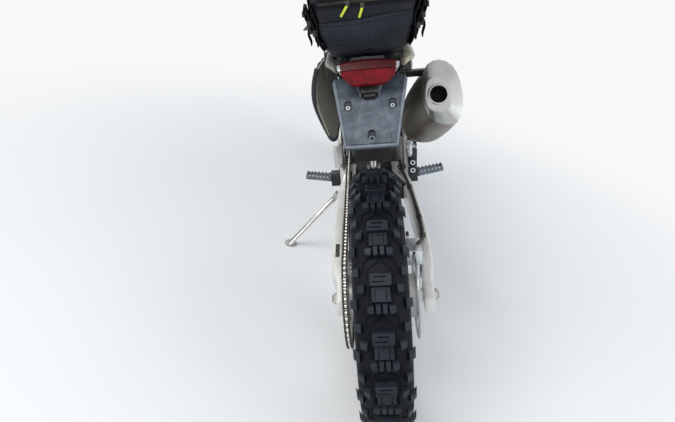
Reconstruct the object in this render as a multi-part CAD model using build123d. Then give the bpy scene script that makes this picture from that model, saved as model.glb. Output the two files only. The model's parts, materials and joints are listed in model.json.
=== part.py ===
"""Enduro motorcycle, parked on its side stand.

Every piece is modelled in the motorcycle's own upright frame: x to its right, y forward,
z up, with the rear axle at y = 0 and the tyres standing on z = 0. The last section turns
the steering onto its left stop, leans the machine onto its stand and moves the origin to
the middle of its footprint on the floor. All sizes are millimetres and degrees.
"""

from build123d import *
import math
import os

# Wheels and chassis geometry
WHEELBASE = 1440
SWINGARM_LENGTH = 600
COUNTERSHAFT_AHEAD = 65
PIVOT_RISE = 90
RAKE = 27
TRAIL = 110
LEAN = 15
STEERING_LOCK = 42

# Clearances: a seat between pieces, a shaft in its hub, a chain on its sprocket
GAP = 0.3
RUNNING_GAP = 0.08

# Tyres, measured to the tips of their lugs
REAR_TYRE_RADIUS = 335
REAR_TYRE_HEIGHT = 106
REAR_RIM_WIDTH = 58
REAR_PITCHES = 18
FRONT_TYRE_RADIUS = 350
FRONT_TYRE_HEIGHT = 78
FRONT_RIM_WIDTH = 44
FRONT_PITCHES = 15
FRONT_HUB_HALF = 76
LUG_HEIGHT = 16
AXLE_R = 10

# Chain drive
CHAIN_PITCH = 15.875
REAR_TEETH = 48
FRONT_TEETH = 13
CHAIN_X = -85
CHAIN_HEIGHT = 15
CHAIN_GAP = 8
PLATE_THICKNESS = 3.6
ROLLER_SIZE = 7
SPROCKET_THICKNESS = 6
COUNTERSHAFT_RISE = 105

# Swingarm, its pivot and the frame's plates beside it
PIVOT_BOLT_R = 9
PIVOT_TUBE_R = 24
PIVOT_HALF_WIDTH = 105
FRAME_PLATE = 12
FRAME_TUBE_R = 14
RAIL_R = 10

# Fork and bars, measured along the steering axis from beside the front axle
FORK_SPREAD = 200
FORK_OFFSET = 26
STANCHION_R = 21.5
FORK_TUBE_R = 27
FORK_TUBE_START = 330
FORK_TOP = 884
LOWER_CLAMP = 640
UPPER_CLAMP = 850
CLAMP_HEIGHT = 34
STEM_R = 15
HEAD_TUBE_R = 28
BAR_R = 11
BAR_RISE = 45
BAR_HALF_WIDTH = 400

# Brake discs
REAR_DISC_R = 110
REAR_DISC_X = 88
FRONT_DISC_R = 130
FRONT_DISC_X = -66
DISC_THICKNESS = 4
PAD_GAP = 1.5

# Side stand: its pivot from the swingarm's, and its leg's directions down and folded
STAND_OFFSET = (-137, -15, -87)
STAND_LEG_DOWN = (-0.66, 0.22, -0.74)
STAND_LEG_FOLDED = (-0.11, -0.97, 0.20)
STAND_LEG_R = 10
STAND_FOOT_R = 24
STAND_FOOT_HEIGHT = 8
STAND_BOLT_R = 6

# Foot pegs: root, tip and the rise of their rails for each millimetre outwards
PEG_ROOT = 150
PEG_TIP = 236
PEG_SLOPE = 0.15
PEG_TEETH = 7

# Mounts: mirror threads in the lever perches, bolt holes in the plate panel
MIRROR_THREAD_R = 5
MIRROR_THREAD_DEPTH = 16
PLATE_BOLT_R = 3.2

# Engine: its width each side and its cylinder's forward lean
CASE_LEFT = 66
CASE_RIGHT = 82
CYLINDER_LEAN = 9

# Silencer and its outlet
OUTLET_R = 19
HEADER_R = 19

# How far the parked rear wheel has rolled past the place with a tread block at its front
REAR_WHEEL_TURN = 15.35

# Places that the tables below are measured from
REAR_BEAD_RADIUS = REAR_TYRE_RADIUS - REAR_TYRE_HEIGHT
FRONT_BEAD_RADIUS = FRONT_TYRE_RADIUS - FRONT_TYRE_HEIGHT
REAR_AXLE = (0, 0, REAR_TYRE_RADIUS)
FRONT_AXLE = (0, WHEELBASE, FRONT_TYRE_RADIUS)
PIVOT_Y = SWINGARM_LENGTH
PIVOT_Z = REAR_TYRE_RADIUS + PIVOT_RISE
RAKE_SIN = math.sin(math.radians(RAKE))
RAKE_COS = math.cos(math.radians(RAKE))
WHEEL_OFFSET = FRONT_TYRE_RADIUS * RAKE_SIN - TRAIL * RAKE_COS
AXLE_ALONG = FRONT_TYRE_RADIUS * RAKE_COS + TRAIL * RAKE_SIN
STEERING_UP = (0, -RAKE_SIN, RAKE_COS)
STEERING_FOOT = (0, WHEELBASE + TRAIL - AXLE_ALONG * RAKE_SIN, AXLE_ALONG * RAKE_COS)
STEERING_PLANE = Plane(origin=STEERING_FOOT, x_dir=(1, 0, 0), z_dir=STEERING_UP)
HEAD_ALONG = (LOWER_CLAMP + UPPER_CLAMP) / 2
HEAD_Y = STEERING_FOOT[1] - HEAD_ALONG * RAKE_SIN
HEAD_Z = STEERING_FOOT[2] + HEAD_ALONG * RAKE_COS
PLATE_X = PIVOT_HALF_WIDTH + GAP


# Drawing helpers
def from_pivot(y, z):
    """A place in the side view measured from the swingarm's pivot."""
    return (PIVOT_Y + y, PIVOT_Z + z)


def from_head(y, z):
    """A place in the side view measured from the middle of the head tube."""
    return (HEAD_Y + y, HEAD_Z + z)


def from_axle(y, z):
    """A place in the side view measured from the rear axle."""
    return (y, REAR_TYRE_RADIUS + z)


def side_plane(x):
    """A plane seen from the machine's right side: its own x runs forward, its own y up."""
    return Plane(origin=(x, 0, 0), x_dir=(0, 1, 0), z_dir=(1, 0, 0))


def flat(points):
    """A flat face from its corner points."""
    return make_face(Polyline(*points, close=True))


def plate(points, x, thickness):
    """A flat plate in the side view, from x to x + thickness."""
    return extrude(side_plane(x) * flat(points), amount=thickness)


def rod(start, end, radius):
    """A round bar between two points."""
    start, end = Vector(*start), Vector(*end)
    return extrude(Plane(origin=start, z_dir=end - start) * Circle(radius), amount=(end - start).length)


def strut(start, end, size):
    """A thin square bar between two points."""
    start, end = Vector(*start), Vector(*end)
    face = Plane(origin=start, z_dir=end - start) * Rectangle(size, size)
    return extrude(face, amount=(end - start).length)


def cross_rod(x_from, x_to, y, z, radius):
    """A round bar across the machine."""
    return extrude(side_plane(x_from) * Pos(y, z) * Circle(radius), amount=x_to - x_from)


def hexagon_rod(x_from, x_to, y, z, radius):
    """A hexagon nut or bolt head across the machine."""
    return extrude(side_plane(x_from) * Pos(y, z) * RegularPolygon(radius, 6), amount=x_to - x_from)


def box_between(low, high):
    """A box from its lowest to its highest corner."""
    size = [h - l for l, h in zip(low, high)]
    middle = [(h + l) / 2 for l, h in zip(low, high)]
    return Pos(*middle) * Box(*size)


def both_sides(piece):
    """A piece and its mirror image on the machine's other side."""
    return piece + mirror(piece, about=Plane.YZ)


def eight_sided(width, height, corner):
    """A rectangle with its four corners cut off, about the origin."""
    w, h = width / 2, height / 2
    return flat(
        [(-w + corner, -h), (w - corner, -h), (w, -h + corner), (w, h - corner), (w - corner, h), (-w + corner, h)]
        + [(-w, h - corner), (-w, -h + corner)]
    )


def beam(sections, corner):
    """A box beam through sections of (x, y, z, width across, height), drawn fore and aft."""
    faces = [
        Plane(origin=(x, y, z), x_dir=(1, 0, 0), z_dir=(0, -1, 0)) * eight_sided(width, height, corner)
        for x, y, z, width, height in sections
    ]
    return loft(faces, ruled=True)


def tower(sections, corner):
    """A block through sections of (x, y, z, width across, length fore and aft), drawn upwards."""
    faces = [
        Plane(origin=(x, y, z), x_dir=(1, 0, 0), z_dir=(0, 0, 1)) * eight_sided(width, length, corner)
        for x, y, z, width, length in sections
    ]
    return loft(faces, ruled=True)


def bent_route(points, radius, steps=3):
    """A route of straight runs whose corners are turned in a few short steps."""
    route = [Vector(*points[0])]
    for before, corner, after in zip(points, points[1:], points[2:]):
        before, corner, after = Vector(*before), Vector(*corner), Vector(*after)
        into, out = (corner - before).normalized(), (after - corner).normalized()
        turn = math.radians(into.get_angle(out))
        setback = radius * math.tan(turn / 2)
        centre_way = (out - into).normalized()
        centre = corner + centre_way * (radius / math.cos(turn / 2))
        for i in range(steps):
            angle = turn * ((i + 0.5) / steps - 0.5)
            spoke = centre_way * -math.cos(angle) + (into + out).normalized() * math.sin(angle)
            route.append(centre + spoke * (radius / math.cos(turn / 2 / steps)))
        assert setback > 0
    route.append(Vector(*points[-1]))
    return route


def tube(points, tube_radius, bend, steps=3):
    """A bent tube with mitred short steps round each bend."""
    path = Polyline(*bent_route(points, bend, steps))
    section = Plane(origin=path @ 0, z_dir=path % 0) * Circle(tube_radius)
    return sweep(section, path=path, transition=Transition.RIGHT)


def faceted_ring(points, sides, turn=0.5):
    """A ring of flat facets about the x axis, from a section of (x, radius) points."""
    rows = []
    for i in range(sides):
        angle = 2 * math.pi * (i + turn) / sides
        rows.append([(x, r * math.cos(angle), r * math.sin(angle)) for x, r in points])
    facets = []
    for here, there in zip(rows, rows[1:] + rows[:1]):
        for j in range(len(points)):
            k = (j + 1) % len(points)
            facets.append(make_face(Polyline(here[j], here[k], there[k], there[j], close=True)))
    return Solid(Shell(facets))


# Wheels, drawn about the x axis with the axle at the origin
# Carcasses: across, and the share of the height from bead to tread
REAR_CARCASS = ((26, 0), (60, 0.55), (40, 1), (-40, 1), (-60, 0.55), (-26, 0))
FRONT_CARCASS = ((19, 0), (41, 0.55), (27, 1), (-27, 1), (-41, 0.55), (-19, 0))

# Tread rows: place round the wheel in pitches, half length, then the lug's (x, depth) outline
REAR_ROWS = (
    (0.0, 12, ((-21, 0.6), (21, 0.6), (21, 18), (-21, 18))),
    (0.5, 10, ((-30, 2.9), (-12, 0.8), (12, 0.8), (30, 2.9), (28, 18), (-28, 18))),
    (0.84, 9, ((42, 12), (57, 28), (50, 36), (41, 22))),
    (0.84, 9, ((-41, 22), (-50, 36), (-57, 28), (-42, 12))),
    (0.42, 10, ((48, 14), (64, 33), (55, 42), (44, 26))),
    (0.42, 10, ((-44, 26), (-55, 42), (-64, 33), (-48, 14))),
)

FRONT_ROWS = (
    (0.0, 12, ((-17, 0.5), (17, 0.5), (17, 20), (-17, 20))),
    (0.5, 10, ((-22, 1.5), (22, 1.5), (21, 20), (-21, 20))),
    (0.0, 13, ((27, 7), (44, 23), (35, 37), (26, 22))),
    (0.0, 13, ((-26, 22), (-35, 37), (-44, 23), (-27, 7))),
)


def tyre(tip_radius, bead_radius, carcass, rows, pitches):
    """A knobbly tyre: a faceted carcass with rows of lugs, each row on its facets' middles."""
    low = bead_radius + GAP
    height = tip_radius - LUG_HEIGHT - low
    section = [(x, low + height * share) for x, share in carcass]
    casing = faceted_ring(section, pitches * 2)
    lugs = []
    for place, half_length, points in rows:
        face = flat([(x, tip_radius - depth) for x, depth in points])
        lug = extrude(Plane.XY * face, amount=half_length, both=True)
        lugs += [Rot(360 / pitches * (i + place), 0, 0) * lug for i in range(pitches)]
    return casing.fuse(*lugs)


def lug_tips(tip_radius, rows, pitches, turn):
    """Every lug's outer corners about the axle, after the wheel has turned by some degrees."""
    tips = []
    for place, half_length, points in rows:
        for i in range(pitches):
            angle = math.radians(turn + 360 / pitches * (i + place))
            c, s = math.cos(angle), math.sin(angle)
            for x, depth in points:
                r = tip_radius - depth
                tips += [(x, r * c - t * s, r * s + t * c) for t in (-half_length, half_length)]
    return tips


def rim(bead_radius, width, sides):
    """A channel rim with a drop centre and two flanges."""
    half = width / 2
    side = [(half * 0.4, bead_radius - 10), (half - 3, bead_radius)]
    side += [(half, bead_radius + 3.5), (half, bead_radius - 5)]
    section = side + [(half * 0.4, bead_radius - 17)]
    section += [(-x, r) for x, r in reversed(section)]
    return faceted_ring(section, sides)


def hub_and_spokes(left, right, flange_r, flange_x, carriers, rim_radius, spokes):
    """A bored hub with two flanges, its carriers of (x, x, radius), and the laced spokes."""
    barrel = 20
    section = [
        (left, barrel),
        (-flange_x - 3, barrel + 4),
        (-flange_x - 3, flange_r),
        (-flange_x + 3, flange_r),
        (-flange_x + 9, barrel),
        (flange_x - 9, barrel),
        (flange_x - 3, flange_r),
        (flange_x + 3, flange_r),
        (flange_x + 3, barrel + 4),
        (right, barrel),
        (right, AXLE_R - 3),
        (left, AXLE_R - 3),
    ]
    body = faceted_ring(section, 18)
    for low, high, radius in carriers:
        body += faceted_ring([(low, AXLE_R - 3), (low, radius), (high, radius), (high, AXLE_R - 3)], 24)
    body -= cross_rod(left - 1, right + 1, 0, 0, AXLE_R + RUNNING_GAP)
    reach = rim_radius * math.cos(math.pi / spokes) - 0.7
    made = []
    for i in range(spokes):
        flange = 1 if i % 2 else -1
        lean = 1 if (i // 2) % 2 else -1
        at_rim = math.radians(360 / spokes * i)
        at_hub = at_rim + lean * math.radians(48)
        head = flange_r - 3
        root = (flange * (flange_x + lean * 1.2), head * math.cos(at_hub), head * math.sin(at_hub))
        end = (flange * (3 + lean), reach * math.cos(at_rim), reach * math.sin(at_rim))
        made.append(strut(root, end, 3.4))
    return body.fuse(*made)


def brake_disc(x, radius, band, carrier_r, arms):
    """A brake disc with a waved edge, on thin arms from its carrier."""
    points = []
    for i in range(24):
        for share, wave in ((0, 0), (0.5, -3)):
            angle = 2 * math.pi * (i + share) / 24
            points.append(((radius + wave) * math.cos(angle), (radius + wave) * math.sin(angle)))
    face = flat(points) - RegularPolygon(radius - band, 24)
    face += RegularPolygon(carrier_r + 8, 12) - RegularPolygon(carrier_r - 10, 12)
    for i in range(arms):
        arm = Pos((radius - band + carrier_r) / 2, 0) * Rectangle(radius - band - carrier_r + 8, 9)
        face += Rot(0, 0, 360 / arms * i) * arm
    return extrude(side_plane(x) * face, amount=DISC_THICKNESS)


# Chain drive
def pitch_radius(teeth):
    return CHAIN_PITCH / 2 / math.sin(math.pi / teeth)


def chain_span(distance):
    """The chain's length in links round both sprockets at this distance between shafts."""
    big, small = pitch_radius(REAR_TEETH), pitch_radius(FRONT_TEETH)
    angle = math.asin((big - small) / distance)
    wrap = REAR_TEETH * (0.5 + angle / math.pi) + FRONT_TEETH * (0.5 - angle / math.pi)
    return 2 * distance * math.cos(angle) / CHAIN_PITCH + wrap


CHAIN_LINKS = 2 * round(chain_span(math.hypot(PIVOT_Y + COUNTERSHAFT_AHEAD, COUNTERSHAFT_RISE)) / 2)


def shaft_distance():
    """The distance between shafts at which the chain has a whole number of links."""
    low, high = 300.0, 1500.0
    for _ in range(60):
        middle = (low + high) / 2
        if chain_span(middle) < CHAIN_LINKS:
            low = middle
        else:
            high = middle
    return low


SHAFT_DISTANCE = shaft_distance()
COUNTERSHAFT_Y = math.sqrt(SHAFT_DISTANCE**2 - COUNTERSHAFT_RISE**2)
COUNTERSHAFT_Z = REAR_TYRE_RADIUS + COUNTERSHAFT_RISE
CHAIN_SLOPE = math.atan2(COUNTERSHAFT_RISE, COUNTERSHAFT_Y)
CHAIN_TAPER = math.asin((pitch_radius(REAR_TEETH) - pitch_radius(FRONT_TEETH)) / SHAFT_DISTANCE)
UPPER_TANGENT = CHAIN_SLOPE + math.pi / 2 - CHAIN_TAPER
LOWER_TANGENT = CHAIN_SLOPE - math.pi / 2 + CHAIN_TAPER


def around(centre, radius, angle):
    return (centre[0] + radius * math.cos(angle), centre[1] + radius * math.sin(angle))


def chain_loop(offset):
    """The chain's loop in the side view, this far outside its pitch line, in short chords."""
    rear, front = (0, REAR_TYRE_RADIUS), (COUNTERSHAFT_Y, COUNTERSHAFT_Z)
    big, small = pitch_radius(REAR_TEETH) + offset, pitch_radius(FRONT_TEETH) + offset
    points = []
    for centre, radius, start, end, steps in (
        (front, small, UPPER_TANGENT, LOWER_TANGENT, 4),
        (rear, big, LOWER_TANGENT, UPPER_TANGENT - 2 * math.pi, 11),
    ):
        for i in range(steps + 1):
            points.append(around(centre, radius, start + (end - start) * i / steps))
    return flat(points)


def chain_runs():
    """Both straight runs as (start, end) on the pitch line, each from the rear sprocket."""
    rear, front = (0, REAR_TYRE_RADIUS), (COUNTERSHAFT_Y, COUNTERSHAFT_Z)
    big, small = pitch_radius(REAR_TEETH), pitch_radius(FRONT_TEETH)
    return [(around(rear, big, a), around(front, small, a)) for a in (UPPER_TANGENT, LOWER_TANGENT)]


def first_roller(tangent):
    """How far along a straight run its first roller lies, in step with the rear sprocket."""
    step = 2 * math.pi / REAR_TEETH
    past = (tangent / step) % 1 if tangent > 0 else (-tangent / step) % 1
    return past * CHAIN_PITCH


def chain():
    """Two rows of side plates round both sprockets, joined by the chain's rollers."""
    half = CHAIN_GAP / 2
    ring = chain_loop(CHAIN_HEIGHT / 2) - chain_loop(-CHAIN_HEIGHT / 2)
    bands = extrude(side_plane(CHAIN_X + half) * ring, amount=PLATE_THICKNESS)
    bands += extrude(side_plane(CHAIN_X - half - PLATE_THICKNESS) * ring, amount=PLATE_THICKNESS)
    rollers = []
    for (start, end), tangent in zip(chain_runs(), (UPPER_TANGENT, LOWER_TANGENT)):
        length = math.dist(start, end)
        along = ((end[0] - start[0]) / length, (end[1] - start[1]) / length)
        slope = math.degrees(math.atan2(along[1], along[0]))
        s = first_roller(tangent)
        while s < length:
            square = Pos(start[0] + along[0] * s, start[1] + along[1] * s) * Rot(0, 0, slope)
            square *= Rectangle(ROLLER_SIZE, ROLLER_SIZE)
            rollers.append(extrude(side_plane(CHAIN_X - half) * square, amount=CHAIN_GAP))
            s += CHAIN_PITCH
    return bands.fuse(*rollers)


def sprocket(teeth, bore, first_angle, windows=0):
    """A sprocket about the x axis, with a valley between teeth at first_angle in radians."""
    radius = pitch_radius(teeth)
    valley, tip = radius - ROLLER_SIZE / 2 - 1.6, radius + 3.4
    step = 2 * math.pi / teeth
    points = []
    for i in range(teeth):
        for share, r in ((-0.24, valley), (0.24, valley), (0.42, tip), (0.58, tip)):
            angle = first_angle + step * (i + share)
            points.append((r * math.cos(angle), r * math.sin(angle)))
    face = flat(points) - Circle(bore)
    for i in range(windows):
        middle = (bore + valley) / 2 + 4
        hole = eight_sided((valley - bore) * 0.5, 26, 7)
        face -= Rot(0, 0, 360 / windows * i) * Pos(middle, 0) * hole
    return extrude(side_plane(-SPROCKET_THICKNESS / 2) * face, amount=SPROCKET_THICKNESS)


# Steering assembly, drawn in the steering plane: z runs up the steering axis, y ahead of it
def fork_post(radius, low, high):
    """A round post on the right fork leg's centre line."""
    post = Cylinder(radius, high - low, align=(Align.CENTER, Align.CENTER, Align.MIN))
    return Pos(FORK_SPREAD / 2, FORK_OFFSET, low) * post


def fork_tubes():
    """Both upper fork tubes, with a slimmer collar at their mouths."""
    return both_sides(
        fork_post(FORK_TUBE_R, FORK_TUBE_START + 22, FORK_TOP)
        + fork_post(FORK_TUBE_R + 2, FORK_TUBE_START, FORK_TUBE_START + 22)
    )


def fork_sliders():
    """Both lower fork legs, with the lugs that hold the axle ahead of them."""
    leg = fork_post(STANCHION_R, -20, FORK_TUBE_START - GAP)
    outer = FORK_SPREAD / 2 + 19
    inner = FORK_SPREAD / 2 - 17
    side = [(FORK_OFFSET - 24, 34), (FORK_OFFSET - 24, -26), (FORK_OFFSET, -34)]
    side += [(WHEEL_OFFSET + 12, -24), (WHEEL_OFFSET + 24, 0), (WHEEL_OFFSET + 12, 24), (FORK_OFFSET + 22, 64)]
    side += [(FORK_OFFSET - 16, 64)]
    lug = plate(side, inner, outer - inner)
    leg += lug
    leg -= cross_rod(inner - 1, outer + 1, WHEEL_OFFSET, 0, AXLE_R + GAP)
    return both_sides(leg)


def front_axle():
    """The axle through both fork lugs, with a collar each side of the hub."""
    inner = FORK_SPREAD / 2 - 17
    axle = cross_rod(-FORK_SPREAD / 2 - 25, FORK_SPREAD / 2 + 25, WHEEL_OFFSET, 0, AXLE_R)
    return axle + both_sides(cross_rod(FRONT_HUB_HALF + GAP, inner - GAP, WHEEL_OFFSET, 0, 15))


def clamp(height, thickness):
    """A triple clamp that grips both fork tubes, waisted between them."""
    reach = FORK_SPREAD / 2
    grip = FORK_TUBE_R + 10
    ahead = FORK_OFFSET
    half = [(0, ahead + 24), (reach - 46, ahead + 20), (reach - 22, ahead + grip), (reach + 18, ahead + grip)]
    half += [(reach + grip, ahead + 16), (reach + grip, ahead - 16)]
    half += [(reach + 18, ahead - grip), (reach - 22, ahead - grip)]
    half += [(34, -30), (16, -38), (0, -38)]
    outline = half + [(-x, y) for x, y in reversed(half) if x]
    body = Pos(0, 0, height - thickness / 2) * extrude(flat(outline), amount=thickness)
    for x in (-reach, reach):
        body -= Pos(x, ahead, height) * Cylinder(FORK_TUBE_R + GAP, thickness + 2)
    return body


def triple_clamps():
    """Both clamps with the stem between them."""
    stem = Pos(0, 0, LOWER_CLAMP) * Cylinder(
        STEM_R, UPPER_CLAMP - LOWER_CLAMP + 22, align=(Align.CENTER, Align.CENTER, Align.MIN)
    )
    return clamp(LOWER_CLAMP, CLAMP_HEIGHT) + clamp(UPPER_CLAMP, CLAMP_HEIGHT * 0.7) + stem


BAR_Z = UPPER_CLAMP + CLAMP_HEIGHT * 0.35 + BAR_RISE
BAR_Y = 8
BAR_POINTS = ((92, BAR_Y, BAR_Z), (196, BAR_Y - 20, BAR_Z + 76), (BAR_HALF_WIDTH, BAR_Y - 92, BAR_Z + 92))


def bar_clamps():
    """Two risers on the upper clamp that hold the handlebar."""
    foot = UPPER_CLAMP + CLAMP_HEIGHT * 0.35 + GAP
    top = BAR_Z + BAR_R + 7
    side = [(BAR_Y - 17, foot), (BAR_Y + 17, foot), (BAR_Y + 14, BAR_Z), (BAR_Y + 19, BAR_Z), (BAR_Y + 17, top)]
    side += [(BAR_Y - 17, top), (BAR_Y - 19, BAR_Z), (BAR_Y - 14, BAR_Z)]
    riser = plate(side, 38, 26)
    riser -= cross_rod(30, 80, BAR_Y, BAR_Z, BAR_R + GAP)
    return both_sides(riser)


def handlebar():
    left = [(-x, y, z) for x, y, z in reversed(BAR_POINTS)]
    bar = tube(left + list(BAR_POINTS), BAR_R, 60)
    return bar + cross_rod(-150, 150, BAR_Y - 8, BAR_Z + 40, 6)


def along_bar(distance):
    """A point on the right grip's centre line, this far in from the bar's end."""
    inner, outer = Vector(*BAR_POINTS[1]), Vector(*BAR_POINTS[2])
    return outer - (outer - inner).normalized() * distance


GRIP_LENGTH = 122
GRIP_R = 16.5


def grips():
    """Rubber grips with a flange at their inner ends."""
    sleeve = rod(tuple(along_bar(GRIP_LENGTH)), tuple(along_bar(-5)), GRIP_R)
    sleeve += rod(tuple(along_bar(GRIP_LENGTH)), tuple(along_bar(GRIP_LENGTH - 4)), GRIP_R + 9)
    sleeve -= rod(tuple(along_bar(GRIP_LENGTH + 1)), tuple(along_bar(0)), BAR_R + GAP)
    return both_sides(sleeve)


def mirror_seat():
    """The top of the right perch's mirror boss, whose thread runs down along the steering axis."""
    return along_bar(GRIP_LENGTH + 30) + Vector(0, 27, 20)


def lever_set():
    """A perch clamped on the right side of the bar and its bent lever ahead of the grip."""
    perch_start, perch_end = along_bar(GRIP_LENGTH + 44), along_bar(GRIP_LENGTH + 16)
    perch = rod(tuple(perch_start), tuple(perch_end), BAR_R + 7)
    arm_start = along_bar(GRIP_LENGTH + 30)
    pivot = arm_start + Vector(0, 42, 4)
    perch += strut(tuple(arm_start), tuple(pivot), 18)
    seat = mirror_seat()
    perch += rod(tuple(seat - Vector(0, 0, 20)), tuple(seat), MIRROR_THREAD_R + 5)
    perch -= rod(tuple(seat - Vector(0, 0, MIRROR_THREAD_DEPTH)), tuple(seat + Vector(0, 0, 1)), MIRROR_THREAD_R)
    perch -= rod(tuple(along_bar(GRIP_LENGTH + 60)), tuple(along_bar(GRIP_LENGTH)), BAR_R + GAP)
    route = [tuple(pivot), tuple(pivot + Vector(46, 12, -2)), tuple(along_bar(2) + Vector(0, 48, -4))]
    lever = tube(route, 6, 18, 2)
    return perch + lever


def front_fender():
    """A long fender under the lower clamp, falling away behind it and ahead over the tyre."""
    low = LOWER_CLAMP - CLAMP_HEIGHT / 2 - GAP
    stations = (
        # ahead, height, width, crown
        (-66, low - 32, 88, 10),
        (-30, low - 8, 112, 16),
        (90, low - 46, 120, 22),
        (250, low - 128, 116, 22),
        (400, low - 236, 76, 8),
    )
    sheet = 4
    solids = []
    for grow in (0, sheet):
        faces = []
        for y, z, width, crown in stations:
            half = width / 2
            points = [(-half, -crown - 8), (half, -crown - 8), (half, -crown), (half * 0.55, 0)]
            points += [(-half * 0.55, 0), (-half, -crown)]
            if grow:
                points = [(-half + sheet, -crown - 12), (half - sheet, -crown - 12), (half - sheet, -crown - 2)]
                points += [(half * 0.5, -sheet), (-half * 0.5, -sheet), (-half + sheet, -crown - 2)]
            faces.append(Plane(origin=(0, y, z), x_dir=(1, 0, 0), z_dir=(0, -1, 0)) * flat(points))
        solids.append(loft(faces, ruled=True))
    fender = solids[0] - solids[1]
    seat = plate([(-30, low - 24), (-24, low), (44, low), (58, low - 38)], -40, 80)
    return fender + seat


def fork_guards():
    """Plastic guards ahead of both lower fork legs."""
    side = [(FORK_OFFSET + STANCHION_R + GAP, 70), (FORK_OFFSET + 40, 76), (FORK_OFFSET + 36, FORK_TUBE_START + 40)]
    side += [(FORK_OFFSET + FORK_TUBE_R + 3, FORK_TUBE_START + 60), (FORK_OFFSET + FORK_TUBE_R + 3, 100)]
    side += [(FORK_OFFSET + STANCHION_R + GAP, 92)]
    guard = plate(side, FORK_SPREAD / 2 - 26, 52)
    return both_sides(guard)


def headlamp():
    """The mask ahead of the fork, its lamp lens and the small display above it."""
    foot, top = LOWER_CLAMP + 10, UPPER_CLAMP + 46
    front = FORK_OFFSET + FORK_TUBE_R + 10 + GAP
    mask = tower(
        [
            (0, front + 40, foot, 150, 56),
            (0, front + 52, foot + 80, 214, 88),
            (0, front + 34, foot + 150, 196, 60),
            (0, front + 10, top, 180, 34),
        ],
        12,
    )
    mask -= box_between((-FORK_SPREAD, -200, 0), (FORK_SPREAD, front, top + 50))
    lens_plane = Plane(origin=(0, front + 92, foot + 62), x_dir=(1, 0, 0), z_dir=(0, 0.985, 0.17))
    cavity = extrude(lens_plane * eight_sided(138, 84, 24), amount=40, both=True)
    mask -= cavity
    lens = extrude(lens_plane * eight_sided(138 - 2 * GAP, 84 - 2 * GAP, 24), amount=-34)
    return mask, lens


# Chassis
def main_frame():
    """Head tube, two spars, pivot plates and a double cradle under the engine."""
    low, high = LOWER_CLAMP + CLAMP_HEIGHT / 2 + 3, UPPER_CLAMP - CLAMP_HEIGHT * 0.35 - 3
    tall = Cylinder(HEAD_TUBE_R, high - low, align=(Align.CENTER, Align.CENTER, Align.MIN))
    head = STEERING_PLANE * Pos(0, 0, low) * tall
    spar = beam(
        [(30, *from_head(8, -34), 30, 92), (82, *from_pivot(262, 374), 26, 74), (107, *from_pivot(40, 165), 22, 70)], 6
    )
    pivot_plate = plate(
        [
            from_pivot(*p)
            for p in ((-42, -99), (-52, 30), (-34, 120), (-10, 190), (48, 187))
            + ((50, 60), (58, -5), (44, -125), (-14, -125))
        ],
        PLATE_X,
        FRAME_PLATE,
    )
    cradle = tube(
        [
            (14, *from_head(-20, -70)),
            (38, *from_head(-52, -376)),
            (82, *from_pivot(352, -70)),
            (98, *from_pivot(296, -121)),
            (98, *from_pivot(100, -121)),
            (110, *from_pivot(10, -108)),
        ],
        FRAME_TUBE_R,
        40,
        2,
    )
    tower_plate = plate([from_pivot(*p) for p in ((26, 150), (22, 292), (62, 292), (66, 150))], 34, 8)
    frame = head + both_sides(spar) + both_sides(pivot_plate) + both_sides(cradle) + both_sides(tower_plate)
    frame += cross_rod(-PLATE_X, PLATE_X, *from_pivot(42, 162), 15)
    frame += box_between((-PLATE_X - 28, *from_pivot(-50, 34)), (-PLATE_X, *from_pivot(-30, 112)))
    frame -= STEERING_PLANE * Pos(0, 0, low - 20) * Cylinder(
        STEM_R + GAP, high - low + 40, align=(Align.CENTER, Align.CENTER, Align.MIN)
    )
    frame -= cross_rod(-150, 150, PIVOT_Y, PIVOT_Z, PIVOT_BOLT_R + GAP)
    return frame


def subframe(frame, silencer):
    """Upper and lower rails coped onto the frame, with the fender's posts and the silencer's tab."""
    upper = tube(
        [(94, *from_pivot(84, 262)), (80, *from_pivot(-30, 378))]
        + [(66, *from_pivot(-270, 440)), (56, *from_pivot(-540, 452))],
        RAIL_R,
        60,
        2,
    )
    route = [(100, *from_pivot(4, 178)), (70, *from_pivot(-84, 222)), (56, *from_pivot(-456, 440))]
    lower = tube(route, RAIL_R - 1, 40, 1)
    rails = both_sides(upper + lower)
    for y, z in ((-300, 440), (-520, 451)):
        rails += cross_rod(-62, 62, *from_pivot(y, z), RAIL_R - 2)
    rails += both_sides(box_between((46, *from_pivot(-510, 452)), (60, *from_pivot(-494, 479))))
    rails += box_between((60, *from_pivot(-436, 430)), (136, *from_pivot(-416, 444))) - silencer
    return rails - frame


# Swingarm arms: middle across, forward, up, width, height, from the pivot back to the axle
ARM_FRONT = from_pivot(-78, 0)
ARM_SHOULDER = from_pivot(-200, -14)
ARM_BELLY = from_axle(200, 52)
ARM_REAR = from_axle(60, 28)
ARM_NECK = from_axle(24, 10)
ARM_TAIL = from_axle(-44, 0)
LEFT_ARM = ((-86, *ARM_FRONT, 38, 48), (-104, *ARM_SHOULDER, 32, 62), (-112, *ARM_BELLY, 30, 66))
LEFT_ARM += ((-112, *ARM_REAR, 30, 60),)
LEFT_END = ((-112, *ARM_REAR, 30, 60), (-104, *ARM_NECK, 18, 56), (-104, *ARM_TAIL, 18, 46))
RIGHT_ARM = ((91, *ARM_FRONT, 38, 48), (112, *ARM_SHOULDER, 32, 62), (127, *ARM_BELLY, 30, 66))
RIGHT_ARM += ((127, *ARM_REAR, 30, 60),)
RIGHT_END = ((127, *ARM_REAR, 30, 60), (121.5, *ARM_NECK, 27, 56), (121.5, *ARM_TAIL, 27, 46))


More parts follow.
